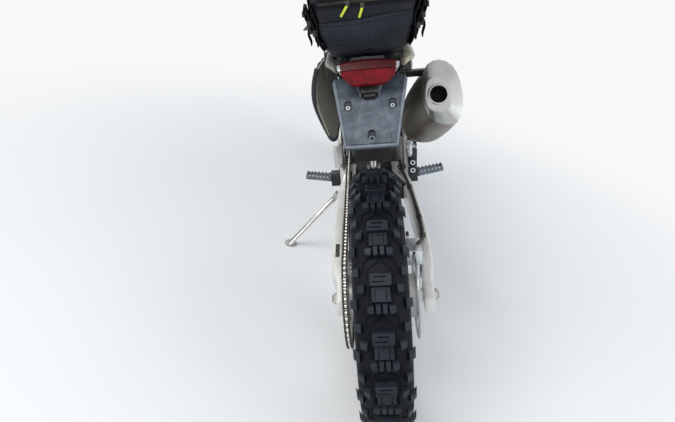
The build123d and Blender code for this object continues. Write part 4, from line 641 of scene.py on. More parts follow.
def hub(name, matrix, body, left, right, flange_r, flange_x, carriers, reach, spokes, turn, replaced):
    """A turned hub with drilled flanges and its crossed spokes with nipples."""
    bm = bmesh.new()
    flange = [(flange_x - 9, 19.5), (flange_x - 3, flange_r - 1), (flange_x - 2, flange_r), (flange_x + 2, flange_r),
              (flange_x + 3, flange_r - 1), (flange_x + 4, 23.5)]
    section = [(left, 19.5)] + [(-x, r) for x, r in reversed(flange)] + [(0, 18.5)] + flange
    lathe(bm, section + [(right, 19.5), (right, HUB_BORE), (left, HUB_BORE)], HUB_STEPS)
    for low, high, radius in carriers:
        disc = [(low, 14), (low, radius - 3), (low + 3, radius - 0.4), (high, radius - 0.4), (high, 14)]
        lathe(bm, disc, HUB_STEPS)
        start, out = (low - 1, low - 4) if low < 0 else (high + 1, high + 4)
        for i in range(6):
            a = 2 * math.pi * (i + 0.5) / 6
            y, z = (radius - 9) * math.cos(a), (radius - 9) * math.sin(a)
            cylinder(bm, (start, y, z), (out, y, z), 5, 6, 1)
    for i in range(spokes):
        flange = 1 if i % 2 else -1
        lean = 1 if (i // 2) % 2 else -1
        at_rim = turn + 2 * math.pi / spokes * i
        at_hub = at_rim + lean * SPOKE_SWING
        root = Vector((flange * (flange_x + lean * 1.2), (flange_r - 3) * math.cos(at_hub),
                       (flange_r - 3) * math.sin(at_hub)))
        end = Vector((flange * (3 + lean), reach * math.cos(at_rim), reach * math.sin(at_rim)))
        cylinder(bm, root, end, SPOKE_R, 8, 1)
        cylinder(bm, end - (end - root).normalized() * NIPPLE_LENGTH, end, NIPPLE_R, 6, 1)
    add_piece(name, bm, ["cast_aluminium", "steel"], [replaced], 35, matrix, body)


hub("rear_hub_laced", REAR_WHEEL, "rear_wheel", -90, 98, 46, 32, ((-81.7, -48, 60), (44, 87.7, 56)), 211.2, 36,
    REAR_TURN, "rear_hub")
hub("front_hub_laced", FRONT_WHEEL, "front_wheel", -76, 76, 38, 30, ((-61.7, -36, 50),), 253.6, 30, FRONT_TURN,
    "front_hub")


# Chain
CHAIN_PITCH = 15.875
CHAIN_X = -85
CHAIN_LINKS = 116
REAR_TEETH, FRONT_TEETH = 48, 13
CHAIN_RISE, CHAIN_DISTANCE = 105, 672.84
LINK_THICKNESS, LINK_WAIST = 1.9, 0.68


def pitch_radius(teeth):
    return CHAIN_PITCH / 2 / math.sin(math.pi / teeth)


def chain_positions():
    """Every roller's place in the side view, from the rear sprocket's top onwards."""
    slope = math.asin(CHAIN_RISE / CHAIN_DISTANCE)
    big, small = pitch_radius(REAR_TEETH), pitch_radius(FRONT_TEETH)
    taper = math.asin((big - small) / CHAIN_DISTANCE)
    front = Vector((CHAIN_DISTANCE * math.cos(slope), REAR_RADIUS + CHAIN_RISE))
    rear = Vector((0, REAR_RADIUS))
    upper, lower = slope + math.pi / 2 - taper, slope - math.pi / 2 + taper
    run = CHAIN_DISTANCE * math.cos(taper) / CHAIN_PITCH
    front_wrap = FRONT_TEETH * (upper - lower) / (2 * math.pi)
    rear_wrap = CHAIN_LINKS - 2 * run - front_wrap
    step = 2 * math.pi / REAR_TEETH
    first = (upper / step) % 1

    def at(centre, radius, angle):
        return centre + Vector((math.cos(angle), math.sin(angle))) * radius

    places = []
    for i in range(CHAIN_LINKS):
        s = (first + i) % CHAIN_LINKS
        if s < run:
            places.append(at(rear, big, upper).lerp(at(front, small, upper), s / run))
        elif s < run + front_wrap:
            places.append(at(front, small, upper - (s - run) / front_wrap * (upper - lower)))
        elif s < 2 * run + front_wrap:
            places.append(at(front, small, lower).lerp(at(rear, big, lower), (s - run - front_wrap) / run))
        else:
            turned = (s - 2 * run - front_wrap) / rear_wrap * (2 * math.pi - upper + lower)
            places.append(at(rear, big, lower - turned))
    return places


def link_plate(bm, a, b, x0, x1, radius):
    """A waisted side plate between two pins."""
    along = (b - a).normalized()
    across = Vector((-along.y, along.x))
    outline = []
    for centre, side in ((b, 1), (a, -1)):
        for i in range(7):
            angle = math.pi * (i / 6 - side / 2)
            outline.append(centre + (along * math.cos(angle) + across * math.sin(angle)) * radius)
        outline.append((a + b) / 2 + across * side * radius * LINK_WAIST)
    rows = [[Vector((x, p.x, p.y)) for p in outline] for x in (x0, x1)]
    ring_faces(bm, rows, True)


def drive_chain():
    places = chain_positions()
    bm = bmesh.new()
    for i, here in enumerate(places):
        there = places[(i + 1) % len(places)]
        gap, radius = ((5.5, 7.3), (3.5, 6.9))[i % 2]
        for side in (-1, 1):
            x0 = CHAIN_X + side * gap
            link_plate(bm, here, there, x0, x0 + side * LINK_THICKNESS, radius)
        cylinders(bm, [((CHAIN_X - half, here.x, here.y), (CHAIN_X + half, here.x, here.y), r, sides, material)
                       for half, r, sides, material in ((3.4, 4.3, 12, 0), (2.3, 5.0, 14, 1), (7.6, 2.4, 10, 0))])
    add_piece("drive_chain_links", bm, ["chain_steel", "chain_bright"], ["chain"], 35)


drive_chain()


# Silencer: rounded sections along its slope
SILENCER_SECTION = ((-0.5, 0.14), (-0.4, 0.42), (-0.12, 0.52), (0.2, 0.46), (0.42, 0.24), (0.5, -0.16), (0.4, -0.46),
                    (0.12, -0.52), (-0.32, -0.42), (-0.48, -0.14))
SILENCER_TILT = Vector((0, 0.5, 0.866))
SILENCER_OUT = Vector((0, -0.866, 0.5))
SILENCER_STATIONS = ((168, 122, 826, 94, 148), (158, 232, 762, 112, 154), (145, 380, 678, 114, 148),
                     (139, 470, 627, 90, 112), (139, 512, 603, 50, 56))
END_CAP = (155, 96, 828, 62, 84)


def silencer_ring(x, y, z, width, height, rounding=1):
    outline = chaikin([Vector((width * a, height * b)) for a, b in SILENCER_SECTION], rounding)
    return [Vector((x, y, z)) + Vector((p.x, 0, 0)) + SILENCER_TILT * p.y for p in outline]


def silencer():
    bm = bmesh.new()
    ring_faces(bm, [silencer_ring(*row, 2) for row in softened(SILENCER_STATIONS, 3)], True)
    add_piece("silencer_body", bm, ["silencer"], ["muffler"], 40)
    bm = bmesh.new()
    x, y, z, width, height = mouth = SILENCER_STATIONS[0]
    centre = Vector(END_CAP[:3])
    out = SILENCER_OUT
    rows = [
        silencer_ring(x, y + 9, z - 5, width * 1.004, height * 1.004),
        silencer_ring(x, y + 8, z - 4.6, width * 1.02, height * 1.015),
        silencer_ring(x, y, z, width * 1.012, height * 1.01),
        silencer_ring(*blend(mouth, END_CAP, 0.12)),
        silencer_ring(*blend(mouth, END_CAP, 0.9)),
        silencer_ring(*END_CAP),
    ]
    x, y, z, width, height = END_CAP
    rows.append(silencer_ring(x, y - 1.8, z + 1.0, width * 0.93, height * 0.93))
    hole = []
    for p in rows[-1]:
        away = p - centre
        flat = away - out * away.dot(out)
        hole.append(centre + out * 2.6 + flat.normalized() * 25)
    rows.append(hole)
    rays = [(p - centre - out * 2.6).normalized() for p in hole]

    def rings(*places):
        return [[centre + out * depth + ray * r for ray in rays] for depth, r in places]

    ring_faces(bm, rows + rings((5.5, 22.5), (5.5, 20.0)))
    # The outlet's inner wall and the disc that closes it take the near-black hole finish: painted shade for the deep
    # pipe
    made = ring_faces(bm, rings((5.5, 20.0), (3.0, 18.6), (-22, 18.6)), material=1)
    bm.faces.new(made[-1]).material_index = 1
    add_piece("silencer_end_cap", bm, ["silencer_cap", "hole"], ["muffler_end_cap"], 20)


silencer()


# Thin bodywork: a smooth sheet through stations of corner points
def sheet_panel(name, stations, place, finish, replaced, boss):
    """A smooth thin panel through the CAD panel's stations of (ahead, top, fold, bottom), with a round boss."""
    grid = []
    for ahead, *corners in stations:
        line = chaikin([Vector((x, 0, z)) for x, z in corners], 3, closed=False)
        grid.append([(ahead, p.x, p.z) for p in line])
    rows = softened(grid, 3)
    bm = bmesh.new()
    inwards = -PANEL_THICKNESS if rows[0][0][1] > 0 else PANEL_THICKNESS
    sheet(bm, [[Vector((x, *place(a, z))) for a, x, z in row] for row in rows], Vector((inwards, 0, 0)))
    x0, x1, ahead, up, radius = boss
    cylinder(bm, (x0, *place(ahead, up)), (x1, *place(ahead, up)), radius, 20)
    add_piece(name, bm, [finish], replaced, 38)


PANEL_THICKNESS = 4
COVER_LEFT = (
    (-512, (-113, 484), (-127, 411), (-106, 338)),
    (-400, (-112, 474), (-126, 400), (-106, 272)),
    (-270, (-104, 466), (-116, 392), (-101, 230)),
    (-120, (-96, 458), (-106, 388), (-100, 262)),
    (10, (-96, 452), (-106, 400), (-104, 330)),
)
COVER_RIGHT = (
    (-420, (98, 478), (106, 462), (104, 446)),
    (-270, (98, 466), (106, 430), (100, 386)),
    (-120, (92, 456), (104, 400), (100, 300)),
    (10, (96, 452), (106, 400), (104, 330)),
)
SHROUD = (
    (-330, (92, -62), (96, -96), (94, -120)),
    (-200, (118, -28), (134, -110), (116, -190)),
    (-96, (122, -14), (160, -150), (152, -262)),
    (-10, (151, -60), (168, -190), (158, -300)),
    (18, (151, -150), (165, -200), (158, -262)),
)
# The left cover takes the darker cover plastic, painted shade; the right one the cream plastic
sheet_panel("side_cover_left_panel", COVER_LEFT, from_pivot, "cover_plastic", ["side_cover_left"],
            (-76.3, -106, -270, 440, 8))
sheet_panel("side_cover_right_panel", COVER_RIGHT, from_pivot, "cream_plastic",
            ["side_cover_right"], (76.3, 101, -270, 440, 8))
for side, name, replaced in ((1, "shroud_right_panel", ["shrouds"]), (-1, "shroud_left_panel", [])):
    rows = [(a, *[(x * side, z) for x, z in c]) for a, *c in SHROUD]
    sheet_panel(name, rows, from_head, "grey_plastic", replaced,
                (side * 140.3, side * 157, -62, -200, 9))


# Soft goods: remeshed, swelled by cloth pressure and smoothed
VOXEL = 0.0055
BAG_SWELL, SEAT_SWELL = 0.006, 0.004
PRESSURE, CLOTH_FRAMES = 4, 20


def applied(obj):
    """Puts the object's modifiers into its mesh."""
    depsgraph = bpy.context.evaluated_depsgraph_get()
    mesh = bpy.data.meshes.new_from_object(obj.evaluated_get(depsgraph))
    obj.modifiers.clear()
    obj.data = mesh


def soft_body(obj, cap):
    """Swells a body no further than a cap, and gives its skin as a surface that can be looked at."""
    remesh = obj.modifiers.new("remesh", "REMESH")
    remesh.mode = "VOXEL"
    remesh.voxel_size = VOXEL
    applied(obj)
    start = [v.co.copy() for v in obj.data.vertices]
    cloth = obj.modifiers.new("cloth", "CLOTH")
    cloth.settings.use_pressure = True
    cloth.settings.uniform_pressure_force = PRESSURE
    cloth.settings.effector_weights.gravity = 0
    for number in range(1, CLOTH_FRAMES + 1):
        bpy.context.scene.frame_set(number)
    applied(obj)
    for vertex, place in zip(obj.data.vertices, start):
        move = vertex.co - place
        if move.length > cap:
            vertex.co = place + move * (cap / move.length)
    bpy.context.scene.frame_set(1)
    obj.modifiers.new("smooth", "SUBSURF").levels = 1
    applied(obj)
    obj.data.polygons.foreach_set("use_smooth", [True] * len(obj.data.polygons))
    points = [BIKE_INVERSE @ v.co for v in obj.data.vertices]
    return BVHTree.FromPolygons(points, [list(face.vertices) for face in obj.data.polygons])


# Where looks at a surface start from, beside it and over the swingarm and the seat, and how far they may miss
BESIDE, OVER_ARM, OVER_SEAT = 400, 700, 1200
NEAR_MISS = 340


def touched(surface, start, way, lift):
    """The place where a straight look from start meets the surface, lifted back off it."""
    way = Vector(way).normalized()
    start = Vector(start)
    place = surface.ray_cast(start, way)[0]
    if place is None:
        place = surface.find_nearest(start + way * NEAR_MISS)[0]
    return place - way * lift


def ribbon(bm, points, across, normal, width, thickness, material=0):
    """A flat strap through points, across one way and as thick as its normal says."""
    side = Vector(across).normalized() * width / 2
    up = Vector(normal).normalized() * thickness / 2
    rows = [[Vector(p) + side - up, Vector(p) + side + up, Vector(p) - side + up, Vector(p) - side - up]
            for p in points]
    ring_faces(bm, rows, True, material)


def octagon(x, y, z, width, length, corner):
    w, h, c = width / 2, length / 2, corner
    outline = [(-w + c, -h), (w - c, -h), (w, -h + c), (w, h - c), (w - c, h), (-w + c, h), (-w, h - c), (-w, -h + c)]
    return [Vector((x + p.x, y + p.y, z)) for p in chaikin([Vector(q) for q in outline])]


ZIP_HEIGHT = 1057
PIPING_R, SEAM_R, THREAD_R, STITCH_R = 2.3, 1.8, 0.5, 0.55

# Width and thickness of each kind of strap
TAPE, PULL, STRAP, STRAP_END, LOOP, FOLD = (17, 1.4), (4.2, 2.2), (25, 1.8), (22, 1.7), (18, 2.2), (22, 2.6)
BAND_COLUMNS, BAND_ROWS = 24, 6
BAG_FOOT = 953.4
BAG_ROWS = ((0, 150, 244), (8, 172, 262), (24, 186, 273), (100, 215, 285), (150, 210, 276), (168, 190, 254),
            (176, 168, 228))
SIDE_SEAMS = (((-36, 1084), (20, 1093), (85, 1096), (150, 1093), (205, 1084)),
              ((-30, 983), (20, 977), (85, 975), (150, 977), (200, 983)))
REAR_SEAM = ((-96, 1112), (-99, 1075), (-99.5, 1038), (-97, 1008), (-92, 985), (-80, 968), (-55, 961), (-11, 963.5),
             (43, 964), (72, 968), (87, 980), (95, 1000), (98, 1035), (98.5, 1075), (96, 1112))
BAND_TOP = ((-92, 1019), (-81, 1020), (-46, 1023.6), (-16, 1024.5), (21, 1029), (51, 1032), (70, 1031), (92, 1034))
BAND_FOOT = ((-92, 996), (-85, 994), (-62, 984), (-39, 985), (23, 990), (62, 997), (90, 1007), (92, 1009))


def tail_bag():
    """The luggage roll: its shell sags between piped edges, with a zip, a blank band, straps and buckles."""
    bm = bmesh.new()
    rows = [octagon(0, 85, BAG_FOOT + up, width, length, 30) for up, width, length in softened(BAG_ROWS, 1)]
    ring_faces(bm, rows, True)
    bag = add_piece("tail_bag_shell", bm, ["bag_shell"], ["tail_bag"])
    skin = soft_body(bag, BAG_SWELL)

    def rear(x, z, lift):
        return touched(skin, (x, -BESIDE, z), (0, 1, 0), lift)

    def flank(side, y, z, lift):
        return touched(skin, (side * BESIDE, y, z), (-side, 0, 0), lift)

    def on_zip(x, lift):
        return rear(x, ZIP_HEIGHT - 3 * (x / 90) ** 2, lift)

    bm = bmesh.new()
    swept(bm, [rear(x, z, 0.2) for x, z in REAR_SEAM], PIPING_R, 10, rounding=2)
    for side in (-1, 1):
        for seam in SIDE_SEAMS:
            swept(bm, [flank(side, y, z, 0.2) for y, z in seam], SEAM_R, 8, rounding=2)
    add_piece("tail_bag_piping", bm, ["webbing"])

    bm = bmesh.new()
    ribbon(bm, [on_zip(x, 0.5) for x in range(-88, 89, 8)], (0, 0, 1), (0, -1, 0), *TAPE)
    for x in range(-84, 85, 3):
        low, high = (-2.6, 1.4) if x % 2 else (-1.4, 2.6)
        bits(bm, on_zip(x, 1.9), ((-1.1, -0.9, low), (1.1, 0.5, high)))
    for high, low in (((-30.7, 1052), (-44.4, 1032.7)), ((-4, 1047), (-11, 1029))):
        top, foot = rear(*high, 4), rear(*low, 6)
        along = (foot - top).normalized()
        bits(bm, top, ((-4, -2, -2), (4, 3, 7)))
        wide = Vector((0, -1, 0)).cross(along).normalized()
        line = [top.lerp(foot, i / 6) + Vector((0, -2.2 * math.sin(math.pi * i / 6), 0)) for i in range(7)]
        ribbon(bm, line, wide, (0, -1, 0), *PULL, 2)
    add_piece("tail_bag_zip", bm, ["webbing", "chain_steel", "zip_pull"])

    bm = bmesh.new()
    outer = []
    for i in range(BAND_COLUMNS + 1):
        share = i / BAND_COLUMNS
        k = min(int(share * 7), 6)
        f = share * 7 - k
        top, low = (Vector(edge[k]).lerp(Vector(edge[k + 1]), f) for edge in (BAND_TOP, BAND_FOOT))
        sag = 1.6 + 6.5 * math.sin(math.pi * share) ** 0.7
        line = []
        for j in range(BAND_ROWS + 1):
            up = j / BAND_ROWS
            spot = low.lerp(top, up)
            bulge = sag + 1.6 * math.sin(math.pi * up) - 0.45 * sag * up ** 2
            line.append(rear(spot.x, spot.y, max(bulge, 1.0)))
        outer.append(line)
    sheet(bm, outer, Vector((0, 1.7, 0)))
    for line in (1, -2):
        thread = [row[line] + Vector((0, -0.3, 0)) for row in outer]
        cylinders(bm, [(a.lerp(b, 0.15), a.lerp(b, 0.8), THREAD_R, 6, 1) for a, b in zip(thread, thread[1:])])
    for x0, z0 in ((-93, 996), (77, 1007)):
        spots = [rear(x0 + dx, z0 + dz, 1.6) for dx, dz in ((0, 2), (14, 2), (14, 24), (0, 24))]
        pairs = ((0, 1), (1, 2), (2, 3), (3, 0), (0, 2), (1, 3))
        cylinders(bm, [(spots[a], spots[b], STITCH_R, 6, 1) for a, b in pairs])
    add_piece("tail_bag_band", bm, ["bag_fabric", "webbing"])

    bm = bmesh.new()
    for side in (-1, 1):
        for y in (8, 148):
            ribbon(bm, [flank(side, y, z, 1.4) for z in range(962, 1106, 8)], (0, 1, 0), (side, 0, 0), *STRAP)
            place = flank(side, y, 1016, 4.0)
            bits(bm, place, *(((-4, -17, z), (4, 17, z + 5)) for z in (-17, -3, 12)),
                 *(((-4.5, y0, -18), (4.5, y0 + 5, 18)) for y0 in (-18, 13)))
            tail = [place + Vector((side * (5.5 + 2.5 * math.sin(t * 5)), -3 * t, -6 - 34 * t))
                    for t in (0, 0.15, 0.3, 0.45, 0.6, 0.75, 0.9, 1.0)]
            ribbon(bm, tail, (0, 1, 0.1), (side, 0, 0), *STRAP_END)
        loops = [flank(side, y, z, 2.0) for y, z in ((-22, 990), (30, 986), (85, 985), (140, 986), (190, 990))]
        ribbon(bm, chaikin(loops, 2, False), (0, 0, 1), (side, 0, 0), *LOOP)
        for k in range(3):
            fold = [flank(side, -24 + 9 * k, z, 3 + 3.2 * k + 3.5 * math.sin((z - 962) / 13 + k))
                    for z in range(968 + 9 * k, 1056, 5)]
            ribbon(bm, chaikin(fold, 1, False), (0, 1, 0.12 * k), (side, 0, 0), *FOLD)
            bits(bm, flank(side, -20 + 9 * k, 1002 + 17 * k, 7 + 3 * k), ((-3.5, -13, -5), (3.5, 13, 5)))
    add_piece("tail_bag_straps", bm, ["webbing", "black_plastic"])


tail_bag()

SEAT_ROWS = ((850, 942, 88, 46), (838, 940, 98, 53), (730, 923, 117, 56), (640, 914, 142, 55), (540, 907, 162, 54),
             (450, 911, 169, 50), (360, 917, 168, 45), (270, 924, 150, 33), (250, 925.5, 134, 26))


def seat():
    bm = bmesh.new()
    rows = [[Vector((p.x, y, z + p.y)) for p in octagon(0, 0, 0, width, height, 12)]
            for y, z, width, height in softened(SEAT_ROWS, 1)]
    ring_faces(bm, rows, True)
    pad = add_piece("seat_padded", bm, ["seat_vinyl"], ["seat"])
    skin = soft_body(pad, SEAT_SWELL)

    def on_top(x, y):
        return touched(skin, (x, y, OVER_SEAT), (0, 0, -1), 0.1)

    bm = bmesh.new()
    for side in (-1, 1):
        line = [on_top(side * (width / 2 - 12), y) for y, z, width, height in SEAT_ROWS[1:-1]]
        swept(bm, line, 1.7, 8, rounding=2)
    for y in (470, 330):
        swept(bm, [on_top(x, y) for x in range(-66, 67, 6)], 1.5, 8)
    add_piece("seat_piping", bm, ["webbing"])


seat()


# Tail lamp and the bare panel below it
def local_frame(origin, y_dir, z_dir):
    y_dir, z_dir = Vector(y_dir).normalized(), Vector(z_dir).normalized()
    x_dir = y_dir.cross(z_dir)
    return BIKE @ Matrix.Translation(origin) @ Matrix((x_dir, y_dir, z_dir)).transposed().to_4x4()


LENS_ROWS = ((24.5, 57, -5), (21, 61, -0.5), (15, 60.5, 0.6), (9.5, 59.5, 1.8), (8, 59, 2.4), (6.5, 57.6, 0.6),
             (0, 54, 0), (-8, 49, -0.8), (-15, 42.5, -2.2), (-20, 37.5, -3.6), (-23.5, 31, -7))
LENS_SHARES = (-1, -0.97, -0.9, -0.8, -0.65, -0.5, -0.33, -0.16, 0, 0.16, 0.33, 0.5, 0.65, 0.8, 0.9, 0.97, 1)


def tail_lens():
    """The lens: its raised upper part is darker, and two pale strips at its sides are a painted highlight."""
    bm = bmesh.new()
    closed = []
    for v, half, out in LENS_ROWS:
        arch = 5.5 * max(0.0, (v - 4) / 20)
        line = [Vector((half * s, v - arch * s * s + arch * 0.4, out + 3 - 5 * abs(s) ** 3)) for s in LENS_SHARES]
        closed.append(line + [Vector((p.x * 0.97, p.y * 0.97, -14)) for p in reversed(line)])
    ring_faces(bm, closed, True)
    for face in bm.faces:
        middle = face.calc_center_median()
        if middle.y > 7:
            face.material_index = 1
        # The pale side strips, finish 2: painted highlight
        if abs(middle.x) > 53 and 2 < middle.y < 19:
            face.material_index = 2
    lamp = local_frame((0, -52, 925), (0, 0.31, 0.95), (0, -0.95, 0.31))
    add_piece("tail_lens_moulded", bm, ["lens_red", "lens_dark", "lens_clear"],
              ["tail_lamp_lens"], 24, lamp)


tail_lens()


def offset_outline(points, by):
    """A polygon drawn anticlockwise, moved outwards by a distance."""
    made = []
    count = len(points)
    for i in range(count):
        a, b, c = (Vector(points[(i + k) % count]) for k in (-1, 0, 1))
        n0 = Vector(((b - a).y, -(b - a).x)).normalized()
        n1 = Vector(((c - b).y, -(c - b).x)).normalized()
        way = (n0 + n1).normalized()
        made.append(b + way * (by / max(way.dot(n0), 0.3)))
    return made


def pierced_slab(bm, outline, low, high, holes=(), floor=None, edge=0.8, material=0, inside=0):
    """A slab with softened edges and holes in its top, blind where a floor is given."""
    outline = [Vector(p) for p in outline]
    if sum(a.x * b.y - b.x * a.y for a, b in zip(outline, outline[1:] + outline[:1])) < 0:
        outline.reverse()

    def at(points, z):
        return [Vector((p.x, p.y, z)) for p in points]

    inset = offset_outline(outline, -edge)
    ring_faces(bm, [at(inset, high), at(outline, high - edge), at(outline, low)], material=material)
    loops = [at(inset, high)]
    for hole in holes:
        hole = [Vector(p) for p in hole]
        wide = offset_outline(hole, edge)
        ring_faces(bm, [at(wide, high), at(hole, high - edge)], material=material)
        ring_faces(bm, [at(hole, high - edge), at(hole, low if floor is None else floor)], material=inside)
        if floor is not None:
            bm.faces.new([bm.verts.new(p) for p in at(hole, floor)]).material_index = inside
        loops.append(at(wide, high))
    open_holes = [at([Vector(p) for p in hole], low) for hole in holes] if floor is None else []
    for group in (loops, [at(outline, low)] + open_holes):
        made = [bm.verts.new(p) for loop in group for p in loop]
        for corners in geometry.tessellate_polygon(group):
            bm.faces.new([made[k] for k in corners]).material_index = material
    bmesh.ops.remove_doubles(bm, verts=bm.verts, dist=0.005)


def teardrop(x, y):
    """A hole's outline: a wide arc below and a narrower one above."""
    arcs = ((8.3, -4, math.pi), (7.2, 7.5, 0.0))
    return [Vector((x + r * math.cos(a), y + up + r * math.sin(a)))
            for r, up, start in arcs for a in (start + math.pi * i / 10 for i in range(11))]


def tail_panel():
    bm = bmesh.new()
    outline = [(-70, 0), (-74, -14), (-52, -176), (48, -176), (78, -14), (74, 0)]
    # Finish 3 on the walls and floors of the teardrop recesses is painted shade
    pierced_slab(bm, outline, -4, 0.4, [teardrop(-44, -74), teardrop(44, -74), teardrop(0, -150)], -3.0, 1.0, inside=3)
    field = [(-30, -4), (-18, -60), (-40, -168), (40, -168), (18, -60), (30, -4)]
    pierced_slab(bm, field, -0.5, 2.2, [teardrop(0, -150)], None, 0.9, inside=3)
    # Finish 4 on the raised arms, lips, lower boss and crossbar is painted highlight
    for side in (-1, 1):
        arm = [(side * 23, -6), (side * 31, -6), (side * 19, -54), (side * 12, -54)]
        pierced_slab(bm, arm, 1.5, 4.8, edge=1.2, material=4)
        outer, foot = (78, 48) if side > 0 else (74, 52)
        lip = [(side * (outer - 4), -3), (side * outer, -14), (side * foot, -175.5), (side * (foot - 3.4), -175.5),
               (side * (outer - 8), -17)]
        pierced_slab(bm, lip, -0.5, 3.8, edge=1.1, material=4)
        x = side * 44
        # The dark hex in each bolt is painted shade for its socket
        cylinders(bm, (((x, -77, -3.2), (x, -77, -0.4), 5.2, 20, 1, 4.2), ((x, -77, -0.5), (x, -77, -0.25), 2.3, 6, 2)))
    # The dark disc in the lower boss is painted shade for its hole
    cylinders(bm, (((0, -154, -3.4), (0, -154, -1.4), 6.6, 20, 4), ((0, -154, -1.5), (0, -154, -1.2), 3.6, 20, 2)))
    crossbar = [(-50, -170), (-52, -175.5), (48, -175.5), (46, -170)]
    pierced_slab(bm, crossbar, -0.5, 2.6, material=4)
    panel = local_frame((0, -0.5, 905), (0, 0.838, 0.545), (0, -0.545, 0.838))
    finishes = ["panel_plastic", "bright_cast", "hole", "panel_painted_shade", "panel_edge_highlight"]
    add_piece("tail_panel_moulded", bm, finishes, ["plate_holder"], 30, panel)
    bm = bmesh.new()
    block(bm, (-17, -56, 1.5), (17, -26, 17))
    block(bm, (-11, -62, 1.5), (11, -54, 12))
    rounded_edges(bm, 2.0, 30)
    add_piece("plate_lamp_housing", bm, ["black_plastic"], matrix=panel)


tail_panel()


# Shock absorber
def plate_across(bm, points, x0, x1, material=0):
    ring_faces(bm, [[Vector((x, y, z)) for y, z in points] for x in (x0, x1)], True, material)


SHOCK_TOP, SHOCK_FOOT = (0, 642, 697), (0, 490, 469)
COIL_R, COIL_WIRE_R, COIL_TURNS, COIL_STEPS = 25.2, 4.6, 7.5, 20


def shock_absorber():
    top, foot = Vector(SHOCK_TOP), Vector(SHOCK_FOOT)
    along = (foot - top).normalized()
    length = (foot - top).length
    side = Vector((1, 0, 0))
    other = along.cross(side)
    bm = bmesh.new()
    start, end = 66, length - 52
    helix = []
    for i in range(int(COIL_TURNS * COIL_STEPS) + 1):
        a = 2 * math.pi * i / COIL_STEPS
        s = start + (end - start) * i / (COIL_TURNS * COIL_STEPS)
        helix.append(top + along * s + (side * math.cos(a) + other * math.sin(a)) * COIL_R)
    swept(bm, helix, COIL_WIRE_R, 10)
    for s0, s1, r, material in ((8, 56, 22, 1), (50, 60, 29.6, 1), (60, length - 60, 17, 1),
                                (length - 52, length - 44, 29.4, 1), (length - 48, length, 10.6, 2)):
        cylinder(bm, top + along * s0, top + along * s1, r, 32, material)
    for place, half, r, sides, material in ((top, 33.7, 13, 24, 1), (foot, 14, 14, 24, 1), (foot, 23, 7, 16, 2)):
        cylinder(bm, place - side * half, place + side * half, r, sides, material)
    clevis = [from_pivot(*p) for p in ((-140, 24.3), (-124, 62), (-96, 62), (-80, 24.3))]
    for x0, x1 in ((14.3, 22.3), (-22.3, -14.3)):
        plate_across(bm, clevis, x0, x1, 1)
    add_piece("rear_shock_coils", bm, ["spring_paint", "cast_aluminium", "steel"],
              ["rear_shock"], 40)


shock_absorber()


# Small fittings on the swingarm and the left side cover
def node_surface(*names):
    points, faces = [], []
    for name in names:
        mesh = frame["nodes"][name].data
        first = len(points)
        points += [BIKE_INVERSE @ v.co for v in mesh.vertices]
        faces += [[first + k for k in face.vertices] for face in mesh.polygons]
    return BVHTree.FromPolygons(points, faces)


# The left side cover's outer edge, where a black tube draws painted shade
COVER_EDGE = ((-113, -512, 484), (-124, -513, 450), (-127.5, -512, 411), (-120, -500, 372), (-107, -470, 318),
              (-104, -400, 270), (-99, -270, 228), (-98, -120, 260))


